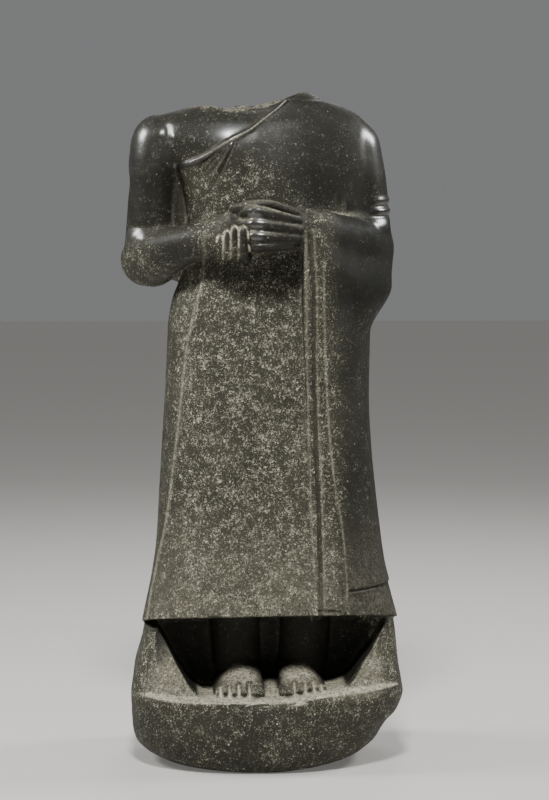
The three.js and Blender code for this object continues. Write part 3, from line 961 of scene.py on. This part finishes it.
def cuts(co):
    """The dusty cuts: deeper beside the fingertips, and filled a little between the toes."""
    return -mix(-2.2, 2.6, ease(co[:, 2], 400, 500)) * seams(co)


def nails(co, upward):
    lift = np.zeros(len(co))
    for tip, top, r in FINGERTIPS:
        lift += nail(co, (tip, recess(tip) - 213, top - 11), r * 0.6, 7.5, (0, 0.02, 1), 0.5)
    for middle, width, tip in TOES:
        place = (middle, tip + 8, floor_z(middle) + 10 + 1.1 * width)
        raised = nail(co, place, width * 0.6, width * 0.7, (0, -1, -0.5), 0.7)
        lift += raised * ease(upward, 0.2, 0.5)
    return lift


def relief(co, normal):
    """How far each point moves out of the stone."""
    facing, upward = -normal[:, 1], normal[:, 2]
    front = ease(facing, 0.15, 0.5)
    lift = folds(co, front) + border_strip(co, front) + bare_shoulder_forms(co, front)
    lift += sleeve_folds(co) + elbows(co, facing) + undercut_hems(co, front)
    return lift + boulder(co, upward) + handwork(co) + cuts(co) + nails(co, upward)


def fracture(co, normal):
    """Where the neck is broken away, less its front part, which is left dark as painted shade."""
    x, y, z = co.T
    close = 1 - ease(np.abs(z - break_height(x, y)), 3.5, 6)
    # Painted shade: the front of the break keeps the dark ground instead of the raw stone's colour
    clear_of_painted_shade = mix(1, ease(y, -58, -34), ease(x, -40, -5))
    inside = ease(x, -150, -128) * (1 - ease(x, 74, 84)) * (z > 1185)
    return close * clear_of_painted_shade * ease(normal[:, 2], 0.2, 0.5) * inside


# The stone's finish, as values from 0 to 1

# How closely the pale crystals sit, by height on the figure's front
crystal_share = Profile(
    (0, 0.52), (110, 0.62), (140, 0.9), (240, 0.9), (275, 1.0), (420, 0.97), (600, 0.92), (850, 0.88),
    (960, 0.75), (1060, 0.72), (1120, 0.5), (1160, 0.32), (1240, 0.25),
)

# Places that hands have polished, each by its middle and its reach
TOUCHED = (
    ((-64, -100, 1158), (74, 60, 50)),
    ((-222, -20, 1140), (84, 100, 90)),
    ((-178, -60, 1160), (44, 50, 30)),
    ((-235, -20, 972), (40, 60, 30)),
    ((205, -40, 1130), (46, 90, 84)),
    ((216, -22, 1028), (42, 52, 40)),
    ((212, -45, 998), (34, 50, 28)),
    ((-24, -205, 990), (26, 26, 56)),
)


# Edges lightened by dust and a painted highlight: their line, how far to its side the light line lies, and
# how much of it
DUST_AND_HIGHLIGHT_EDGES = ((panel_x, 1, 0.45), (border_x, 1, 0.3), (groove_end, 2, 0.25), (shawl_x, 1, 0.36))


def above_hem(z):
    return ease(z, 262, 300)


def above_waist(z):
    return ease(z, 880, 960)


def on_rolled_edge(co, front):
    x, _, z = co.T
    return bell(z - neck_z(x), 1, 6) * front * (x > -165) * (x < 44)


def painted_toe_shadows(co):
    """A painted shadow under the tip of each toe."""
    return [
        near(co, (middle, tip - 3, LEDGE_Z + 7 + ledge_rise(middle)), (0.9 * width, 10, 7))
        for middle, width, tip in TOES
    ]


def polished(co, front):
    """How far hands have worn the stone smooth."""
    x, _, z = co.T
    plain = mix(0.34, 0.1, ease(x, 20, 90)) * above_waist(z)
    polish = np.clip(np.maximum(plain, within(co, TOUCHED)), 0, 1)
    return np.maximum(polish, 0.95 * on_rolled_edge(co, front))


def speckling_and_painted_shade(co, normal, front, toes):
    """How closely the pale crystals show; each of the named places holds them to a share of its own, and
    the niche, the hem's underside and the place under each toe's tip are darkened with few crystals as
    painted shade.
    """
    x, y, z = co.T
    robe = above_hem(z)
    bare_arm = near(co, (-205, 0, 1060), (95, 110, 150))
    forearm = near(co, (-150, -90, 960), (95, 95, 60))
    draped_arm = ease(x, 95, 150) * ease(z, 780, 880) * (1 - ease(z, 1010, 1080))
    hand = near(co, (0, -190, 985), (110, 70, 80))
    # Painted shade: the niche round the legs and the hem's underside keep few crystals, so they darken
    # where shade falls
    niche_painted_shade = ease(y, -118, -100) * (y < -8) * ease(z, 136, 150) * (1 - ease(z, 285, 300))
    niche_painted_shade *= np.abs(x) < mix(200, 185, z > 250)
    hem_underside_painted_shade = ease(-normal[:, 2], 0.3, 0.7) * (z > 236) * (z < 300) * (y < -8)
    draped_chest = ease(x, -20, 130) * ease(z, 1000, 1060)
    hanging = ease(x, 108, 165) * robe * (1 - ease(z, 800, 900))
    bare_flank = robe * ease(-x, 140, 190) * (1 - above_waist(z))
    border = robe * front * (x > groove_start(z)) * (x < groove_end(z)) * (z < 985) * (y < -60)
    speckled_and_painted_shade = crystal_share(z) * (0.7 + 0.3 * front)
    for place, share in (
        (bare_arm, 0.15), (forearm, 0.36), (draped_arm, 0.07), (hand, 0.22), (draped_chest, 0.2),
        (hanging, 0.3), (np.maximum(niche_painted_shade, hem_underside_painted_shade), 0.08), (bare_flank, 0.6),
        (on_rolled_edge(co, front), 0.15), (border, 0.35),
    ):
        speckled_and_painted_shade = mix(speckled_and_painted_shade, np.minimum(speckled_and_painted_shade, share), np.clip(1.15 * place, 0, 1))
    # Painted shadow under each toe's tip: fewer crystals there
    for toe_painted_shadow in toes:
        speckled_and_painted_shade = mix(speckled_and_painted_shade, np.minimum(speckled_and_painted_shade, 0.2), toe_painted_shadow)
    return np.clip(speckled_and_painted_shade, 0, 1)


def edge_dust_and_highlights(co, front):
    """Dust and a painted highlight along the lit edges of the front panel, the border and the shawl's outer
    layer.
    """
    x, y, z = co.T
    edges = np.zeros(len(co))
    for edge, shift, share in DUST_AND_HIGHLIGHT_EDGES:
        edges = np.maximum(edges, share * bell(x - edge(z), shift, 2))
    robe = (front > 0.5) * (y < -40) * (z > 265) * (z < 985)
    return edges * (robe * (1 - ease(x, 90, 100) * ease(z, 860, 960)))


def dusting_and_painted_light(co, normal, front, hollow, toes):
    """How much light dust lies in cuts, creases and on the hem, and how much light is painted on the ledge,
    the feet, the base's cheeks, the fingers' tops, lit edges and the rolled edge.
    """
    x, y, z = co.T
    facing, upward = -normal[:, 1], normal[:, 2]
    fingertips = near(co, (5, -170, 985), (110, 60, 75)) * (x < -20)
    creases = near(co, (-125, -90, 995), (70, 80, 40)) + near(co, (150, -110, 1002), (90, 80, 30))
    caught = hollow * np.clip(0.06 + 0.5 * fingertips + 0.5 * creases, 0, 1)
    above = z - (LEDGE_Z + ledge_rise(x))
    # Dust and painted light on the ledge's top, which faces the light from above
    ledge = ease(upward, 0.55, 0.85) * ease(-y, 20, 70) * (z > 124) * (1 - ease(above, 6, 11))
    # Dust and painted light on the upward faces of the feet, stronger towards the instep, where light from
    # above falls
    feet = near(co, (-54, -112, 158), (62, 60, 52)) + near(co, (70, -112, 160), (62, 60, 52))
    feet *= ease(upward, 0.1, 0.6) * (1 - ease(z, 186, 205))
    feet *= mix(0.32, 1, ease(z, 152, 172))
    between = near(co, (11.5, -115, 138), (19, 90, 30)) * ease(upward, 0.1, 0.5)
    side = np.abs(x)
    # Painted light on the front faces of the base's cheeks, which slope back and face the light from above
    cheeks_painted_light = ease(z, 128, 150) * (1 - ease(z, 215, 250)) * ease(facing, 0.2, 0.8) * ease(side, 100, 130)
    cheeks_painted_light *= ease(-y, 85, 125) * (1 - ease(side, 195, 235))
    robe_foot = (1 - ease(z, 262, 520)) * above_hem(z) * front
    # Painted light on the upward faces of the fingers and the thumb, as if lit from above
    finger_tops_painted_light = near(co, (0, -195, 1000), (84, 44, 62)) * ease(upward, 0.35, 0.8)
    # Painted highlight: a pale line along the rolled edge's top, strongest left of the middle
    line = bell(z - neck_z(x), 3, 1.6) * front * (x > -125) * (x < 40)
    line *= mix(0.35, 0.75, mound(x, z, (-42, 1155), (34, 60)))
    dust_and_painted_light = np.maximum.reduce([
        caught, 1.5 * seams(co), 0.88 * ledge, 0.9 * feet, 0.8 * between, 0.32 * cheeks_painted_light, 0.14 * robe_foot,
        edge_dust_and_highlights(co, front), line, 0.36 * finger_tops_painted_light,
    ])
    # Painted shadow under each toe's tip: less dust there
    for toe_painted_shadow in toes:
        dust_and_painted_light = dust_and_painted_light * (1 - 0.9 * toe_painted_shadow)
    return np.clip(dust_and_painted_light, 0, 1)


def finish_masks(co, normal, hollow):
    """The values that the stone's finish reads at each point, painted light and painted shade among them.
    """
    front = ease(-normal[:, 1], -0.1, 0.6)
    # The painted shadows under the toes' tips
    toes = painted_toe_shadows(co)
    return {
        "polish": polished(co, front),
        "speckled_and_painted_shade": speckling_and_painted_shade(co, normal, front, toes),
        "dust_and_painted_light": dusting_and_painted_light(co, normal, front, hollow, toes),
        "fracture": fracture(co, normal),
    }


# Materials


class Nodes:
    """A short way to write a material's nodes."""

    def __init__(self, tree):
        self.tree = tree
        tree.nodes.clear()

    def add(self, kind, inputs=None, **settings):
        node = self.tree.nodes.new(kind)
        for key, value in settings.items():
            setattr(node, key, value)
        for key, value in (inputs or {}).items():
            if isinstance(value, bpy.types.NodeSocket):
                self.tree.links.new(value, node.inputs[key])
            else:
                node.inputs[key].default_value = value
        return node

    def math(self, operation, *values, clamp=False):
        inputs = dict(enumerate(values))
        return self.add("ShaderNodeMath", inputs, operation=operation, use_clamp=clamp).outputs[0]

    def plus(self, a, b, clamp=False):
        return self.math("ADD", a, b, clamp=clamp)

    def times(self, a, b, clamp=False):
        return self.math("MULTIPLY", a, b, clamp=clamp)

    def most(self, a, b):
        return self.math("MAXIMUM", a, b)

    def rest(self, share):
        return self.math("SUBTRACT", 1.0, share)

    def blend(self, factor, a, b):
        return self.add("ShaderNodeMix", {0: factor, 6: a, 7: b}, data_type="RGBA").outputs[2]

    def span(self, value, low, high, to_low=0.0, to_high=1.0):
        inputs = {0: value, 1: low, 2: high, 3: to_low, 4: to_high}
        return self.add("ShaderNodeMapRange", inputs, interpolation_type="SMOOTHSTEP").outputs[0]

    def attribute(self, name):
        return self.add("ShaderNodeAttribute", attribute_name=name).outputs["Fac"]


class StoneNodes(Nodes):
    """The same, with noises that all read the statue's own coordinates."""

    def __init__(self, tree):
        super().__init__(tree)
        self.place = self.add("ShaderNodeTexCoord").outputs["Object"]

    def grain(self, scale, detail, rough=0.6, distortion=0.0):
        inputs = {"Vector": self.place, "Scale": scale, "Detail": detail}
        inputs.update({"Roughness": rough, "Distortion": distortion})
        return self.add("ShaderNodeTexNoise", inputs).outputs["Fac"]

    def threads(self, scale, distortion, width):
        """Thin lines where a noise crosses its middle."""
        away = self.math("ABSOLUTE", self.math("SUBTRACT", self.grain(scale, 2, 0.6, distortion), 0.5))
        return self.span(away, 0.0, width, 1.0, 0.0)

    def cell_hearts(self, scale, low, high):
        """Round dots at the middle of each cell."""
        cells = self.add("ShaderNodeTexVoronoi", {"Vector": self.place, "Scale": scale}, feature="F1")
        return self.span(cells.outputs["Distance"], low, high, 1.0, 0.0)


def srgb(r, g, b):
    """An sRGB colour from values of 0 to 255."""
    return (r / 255, g / 255, b / 255)


def linear(shade):
    """The linear colour, with alpha, of an sRGB one."""
    parts = [c / 12.92 if c <= 0.04045 else ((c + 0.055) / 1.055) ** 2.4 for c in shade]
    return (*parts, 1.0)


# Colours that a user would seldom change
ROBE_DARK = linear(srgb(56, 55, 45))
ROBE_LIGHT = linear(srgb(68, 67, 55))
DULL_CRYSTAL = linear(srgb(145, 144, 126))
BRIGHT_CRYSTAL = linear(srgb(226, 220, 200))
RAW_DARK = linear(srgb(38, 37, 32))
RAW_LIGHT = linear(srgb(136, 131, 115))
PALE_FLOOR = linear(srgb(206, 204, 199))


def crystals(n, speckled_and_painted_shade, scale):
    """Where pale crystals lie, where they glint, and the few brightest.

    They are crooked threads and dots in ragged clusters, with smooth dark patches between. Where the stone
    is darker only the densest clusters are left.
    """
    sparse = n.times(n.rest(speckled_and_painted_shade), -0.085)
    cover = n.times(n.math("SUBTRACT", n.grain(55, 4, 0.65), 0.5), 0.34)
    fewer = n.plus(sparse, cover)
    islands = n.span(n.plus(n.grain(scale * 0.7, 3, 0.7), fewer), 0.53, 0.60)
    more = n.span(n.plus(n.grain(scale, 3, 0.7), fewer), 0.545, 0.62)
    dots = n.span(n.plus(n.grain(scale * 1.5, 2, 0.7), fewer), 0.61, 0.68)
    long = n.times(n.threads(scale, 0.3, 0.085), islands)
    short = n.times(n.threads(scale * 1.6, 0.2, 0.09), more)
    flecks = n.times(n.most(n.most(long, short), dots), n.span(speckled_and_painted_shade, 0.0, 0.9, 0.28, 1.0))
    glint = n.span(n.grain(scale * 0.45, 2), 0.44, 0.60)
    glint = n.times(glint, n.span(speckled_and_painted_shade, 0.0, 0.8, 0.35, 1.0))
    rare = n.span(n.grain(scale * 0.27, 1), 0.60, 0.66)
    bright = n.times(n.cell_hearts(scale * 0.30, 0.05, 0.26), rare)
    return flecks, glint, n.times(bright, n.span(speckled_and_painted_shade, 0.0, 0.9, 0.1, 0.95))


def stone_colour(n, settings, speckled_and_painted_shade, dust_and_painted_light, broken, flecks, glint, bright):
    """A dark grey-green ground that drifts slowly, its crystals, light dust, raw stone at the break, and
    light and shade painted in through the dust's colour and fewer crystals.
    """
    drift = n.span(n.grain(9, 4), 0.35, 0.68)
    polished = n.blend(drift, linear(settings.ground_dark), linear(settings.ground_light))
    ground = n.blend(speckled_and_painted_shade, polished, n.blend(drift, ROBE_DARK, ROBE_LIGHT))
    stone = n.blend(flecks, ground, n.blend(glint, DULL_CRYSTAL, linear(settings.crystal)))
    stone = n.blend(bright, stone, BRIGHT_CRYSTAL)
    patches = n.span(n.grain(60, 4, 0.7), 0.36, 0.56, 0.68, 1.0)
    ragged = n.times(n.span(n.grain(190, 5, 0.75), 0.42, 0.56, 0.3, 1.0), patches)
    filled = n.most(n.times(dust_and_painted_light, ragged), n.span(dust_and_painted_light, 0.92, 1.0, 0.0, 0.9))
    stone = n.blend(filled, stone, linear(settings.dust_and_painted_light))
    raw = n.blend(n.span(n.grain(170, 5, 0.75), 0.40, 0.64), RAW_DARK, RAW_LIGHT)
    return n.blend(broken, stone, raw)


def stone_roughness(n, polish, dulled, flecks):
    """Dull, glossier where hands have polished it, and duller on crystals, on dust and painted light, and
    on the break.
    """
    plain = n.span(n.grain(70, 4, 0.7), 0.3, 0.7, 0.58, 0.74)
    polished = n.span(n.grain(40, 4, 0.7), 0.3, 0.7, 0.15, 0.26)
    rough = n.plus(n.times(polished, polish), n.times(plain, n.rest(polish)))
    rough = n.plus(rough, n.times(flecks, 0.10))
    return n.plus(rough, n.times(dulled, 0.4), clamp=True)


def stone_grain(n, polish, broken, flecks):
    """Fine pits, which polish takes away, and a coarse grain that is strong in the break, as a normal."""
    pits = n.times(n.most(flecks, n.span(n.grain(330, 4, 0.7), 0.5, 0.72)), 0.5)
    coarse = n.times(n.grain(240, 5, 0.7), n.span(broken, 0, 1, 0.25, 3.0))
    height = n.times(n.plus(pits, coarse), n.span(polish, 0.1, 0.9, 1.0, 0.03))
    inputs = {"Height": height, "Distance": 0.0008, "Strength": 0.5}
    return n.add("ShaderNodeBump", inputs).outputs["Normal"]


def stone_material(settings):
    """The statue's stone; a clear coat stands for its polish, where no dust or painted light lies and
    nothing is broken.
    """
    material = bpy.data.materials.new("dark_stone")
    material.use_nodes = True
    n = StoneNodes(material.node_tree)
    names = ("polish", "speckled_and_painted_shade", "dust_and_painted_light", "fracture")
    polish, speckled_and_painted_shade, dust_and_painted_light, broken = (n.attribute(name) for name in names)
    dulled = n.most(dust_and_painted_light, broken)
    flecks, glint, bright = crystals(n, speckled_and_painted_shade, settings.speckle_scale)
    inputs = {
        "Base Color": stone_colour(n, settings, speckled_and_painted_shade, dust_and_painted_light, broken, flecks, glint, bright),
        "Roughness": stone_roughness(n, polish, dulled, flecks),
        "Normal": stone_grain(n, polish, broken, flecks),
        "Specular IOR Level": 0.22,
        "Coat Weight": n.times(n.span(polish, 0.3, 0.9), n.rest(dulled), clamp=True),
        "Coat Roughness": 0.31,
        "Coat IOR": 1.8,
    }
    shader = n.add("ShaderNodeBsdfPrincipled", inputs)
    n.add("ShaderNodeOutputMaterial", {"Surface": shader.outputs[0]})
    return material


def floor_material():
    material = bpy.data.materials.new("pale_floor")
    material.use_nodes = True
    shader = material.node_tree.nodes["Principled BSDF"]
    glow = {"Emission Color": PALE_FLOOR, "Emission Strength": 0.2}
    for socket, value in {"Base Color": PALE_FLOOR, "Roughness": 0.85, **glow}.items():
        shader.inputs[socket].default_value = value
    return material


# The stage, in metres

FLOOR_SIZE = 40

# The heights that the lamps and the camera aim at
LIT_HEIGHT = 0.75
VIEW_HEIGHT = 0.6075

# The room that the camera sees behind the statue, and the dimmer one that lights it: colour and strength
ROOM_SEEN = ((0.90, 0.91, 0.92, 1), 0.22)
ROOM_FELT = ((0.90, 0.92, 0.95, 1), 0.10)

# How far the statue's middle lies off the picture's middle, as shares of the picture's height
CAMERA_SHIFT = (12.5 / 800, 33 / 800)

# Each lamp: its turn from straight in front and its height in degrees, its distance, its size and its watts
LIGHTS = (
    ("key", -5, 50, 3.4, 0.5, 125),
    ("left_rim", -93, 34, 3.0, 0.9, 60),
    ("right_rim", 102, 34, 3.0, 0.8, 50),
    ("back_fill", 170, 38, 3.4, 1.4, 30),
)


def stand(target, turn, rise, distance):
    """Where a lamp or a camera stands, and how it is turned to face the target."""
    back = Vector((math.sin(turn) * math.cos(rise), -math.cos(turn) * math.cos(rise), math.sin(rise)))
    return {
        "location": Vector(target) + back * distance,
        "rotation": (-back).to_track_quat("-Z", "Y").to_euler(),
    }


# The add-on


class StatueSettings(bpy.types.PropertyGroup):
    """How finely the figure is carved."""

    voxel: bpy.props.FloatProperty(
        name="Voxel", description="Size of the cells that fuse the forms", default=0.0020, unit="LENGTH"
    )
    triangles: bpy.props.IntProperty(
        name="Triangles", description="Most triangles that the finished skin keeps", default=190000
    )
    passes: bpy.props.IntProperty(
        name="Easing passes", description="Smoothing passes where one form runs into the next", default=80
    )


class StoneSettings(bpy.types.PropertyGroup):
    """The stone's colours and grain."""

    ground_dark: bpy.props.FloatVectorProperty(
        name="Dark ground", description="The polished stone's darkest ground", default=srgb(23, 23, 20),
        subtype="COLOR_GAMMA",
    )
    ground_light: bpy.props.FloatVectorProperty(
        name="Light ground", description="The polished stone's lighter ground", default=srgb(34, 33, 29),
        subtype="COLOR_GAMMA",
    )
    crystal: bpy.props.FloatVectorProperty(
        name="Crystals", description="The pale crystals in it", default=srgb(222, 219, 197),
        subtype="COLOR_GAMMA",
    )
    # The colour of the light dust, which also paints light on the ledge, feet, cheeks, fingers' tops, edges
    # and rolled edge
    dust_and_painted_light: bpy.props.FloatVectorProperty(
        name="Dust", description="The light dust in its cuts", default=srgb(212, 206, 182),
        subtype="COLOR_GAMMA",
    )
    speckle_scale: bpy.props.FloatProperty(
        name="Speckle scale", description="How closely the crystals sit, per metre", default=330.0
    )


class StageSettings(bpy.types.PropertyGroup):
    """The camera's place and lens."""

    azimuth: bpy.props.FloatProperty(
        name="Azimuth", description="Camera's turn from straight in front", default=math.radians(-3.0),
        unit="ROTATION",
    )
    elevation: bpy.props.FloatProperty(
        name="Elevation", description="Camera's height above the horizon", default=math.radians(5.0),
        unit="ROTATION",
    )
    distance: bpy.props.FloatProperty(
        name="Distance", description="Camera's distance from the figure", default=4.5, unit="LENGTH"
    )
    lens: bpy.props.FloatProperty(
        name="Lens", description="The lens's focal length", default=108.3, unit="CAMERA"
    )


def carve(settings):
    """The statue's fused and worn skin, still in millimetres in the drawing frame."""
    pieces = [cut(piece, neck_break()) for piece in (trunk(), *shoulders())]
    pieces.append(cut(cut(base(), niche()), hem_notch()))
    pieces += [drape(), *bare_arm(), *draped_arm(), *rolled_edge(), *hands(), *feet()]
    statue = joined(pieces)
    statue.name = "statue_stone"
    voxel = settings.voxel * 1000
    apply(statue, "REMESH", mode="VOXEL", voxel_size=voxel)
    body = Surface(statue.data)
    soft = within(body.co, SOFT_PLACES)
    crisp = within(body.co, CRISP_PLACES)
    body.co = body.smoothed(body.co, 3, 0.5 - 0.3 * crisp)
    passes = int(settings.passes * (2 / voxel) ** 2)
    body.co = body.smoothed(body.co, passes, 0.9 * soft * (1 - 0.8 * crisp))
    normal = body.normals()
    body.co += normal * relief(body.co, normal)[:, None]
    body.co[:, 2] = np.clip(body.co[:, 2], 0, PEAK_Z)
    normal = body.normals()
    even = body.smoothed(body.co, 12, np.full(len(body.co), 0.6))
    hollow = np.clip(-np.einsum("ij,ij->i", body.co - even, normal) / 0.7, 0, 1)
    for name, values in finish_masks(body.co, normal, hollow).items():
        layer = statue.data.attributes.new(name, "FLOAT", "POINT")
        layer.data.foreach_set("value", values.astype(np.float32))
    apply(statue, "DECIMATE", ratio=min(1.0, settings.triangles / (2 * len(statue.data.polygons))))
    return statue


def set_down(statue):
    """Shades the skin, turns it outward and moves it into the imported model's frame, in metres."""
    mesh = statue.data
    set_coordinates(mesh, (coordinates(mesh) + ORIGIN) / 1000)
    edit(statue, (bpy.ops.mesh.quads_convert_to_tris, {}), OUTWARD)
    bpy.ops.object.shade_smooth()
    bpy.ops.object.select_all(action="DESELECT")


class OBJECT_OT_ruler_statue(bpy.types.Operator):
    """Carve the statue and give it its stone"""

    bl_idname = "object.ruler_statue"
    bl_label = "Carve statue"

    def execute(self, context):
        statue = carve(context.scene.statue_settings)
        set_down(statue)
        statue.data.materials.clear()
        statue.data.materials.append(stone_material(context.scene.stone_settings))
        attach(statue, "root")
        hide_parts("statue")
        return {"FINISHED"}


class SCENE_OT_ruler_stage(bpy.types.Operator):
    """Add the floor, the lights and the camera"""

    bl_idname = "scene.ruler_stage"
    bl_label = "Set stage"

    def execute(self, context):
        bpy.ops.mesh.primitive_plane_add(size=FLOOR_SIZE, location=(0, 0, -0.0005))
        floor = context.object
        floor.name = "floor"
        floor.data.materials.append(floor_material())
        self.light(context)
        self.look(context, context.scene.stage_settings)
        return {"FINISHED"}

    def light(self, context):
        world = bpy.data.worlds.new("studio")
        world.use_nodes = True
        n = Nodes(world.node_tree)
        felt, seen = (
            n.add("ShaderNodeBackground", {"Color": tint, "Strength": strength}).outputs[0]
            for tint, strength in (ROOM_FELT, ROOM_SEEN)
        )
        ray = n.add("ShaderNodeLightPath").outputs["Is Camera Ray"]
        both = n.add("ShaderNodeMixShader", {0: ray, 1: felt, 2: seen})
        n.add("ShaderNodeOutputWorld", {"Surface": both.outputs[0]})
        context.scene.world = world
        for name, turn, rise, distance, size, power in LIGHTS:
            turn, rise = math.radians(turn), math.radians(rise)
            bpy.ops.object.light_add(type="AREA", **stand((0, 0, LIT_HEIGHT), turn, rise, distance))
            light = context.object
            light.name = name
            light.data.size = size
            light.data.energy = power

    def look(self, context, stage):
        target = (ORIGIN[0] / 1000, ORIGIN[1] / 1000, VIEW_HEIGHT)
        bpy.ops.object.camera_add(**stand(target, stage.azimuth, stage.elevation, stage.distance))
        camera = context.object
        camera.name = "camera"
        camera.data.lens = stage.lens
        camera.data.shift_x, camera.data.shift_y = CAMERA_SHIFT
        context.scene.camera = camera


class VIEW3D_PT_ruler_statue(bpy.types.Panel):
    """The statue's settings and buttons"""

    bl_label = "Ruler statue"
    bl_idname = "VIEW3D_PT_ruler_statue"
    bl_space_type = "VIEW_3D"
    bl_region_type = "UI"
    bl_category = "Statue"

    def draw(self, context):
        scene = context.scene
        for settings in (scene.statue_settings, scene.stone_settings, scene.stage_settings):
            for name in settings.__annotations__:
                self.layout.prop(settings, name)
        self.layout.operator("object.ruler_statue")
        self.layout.operator("scene.ruler_stage")


CLASSES = (
    StatueSettings,
    StoneSettings,
    StageSettings,
    OBJECT_OT_ruler_statue,
    SCENE_OT_ruler_stage,
    VIEW3D_PT_ruler_statue,
)


def register():
    for cls in CLASSES:
        bpy.utils.register_class(cls)
    bpy.types.Scene.statue_settings = bpy.props.PointerProperty(type=StatueSettings)
    bpy.types.Scene.stone_settings = bpy.props.PointerProperty(type=StoneSettings)
    bpy.types.Scene.stage_settings = bpy.props.PointerProperty(type=StageSettings)


def unregister():
    del bpy.types.Scene.stage_settings
    del bpy.types.Scene.stone_settings
    del bpy.types.Scene.statue_settings
    for cls in reversed(CLASSES):
        bpy.utils.unregister_class(cls)


def main():
    bpy.ops.object.select_all(action="DESELECT")
    register()
    bpy.ops.scene.ruler_stage()
    bpy.ops.object.ruler_statue()


if __name__ == "__main__":
    main()
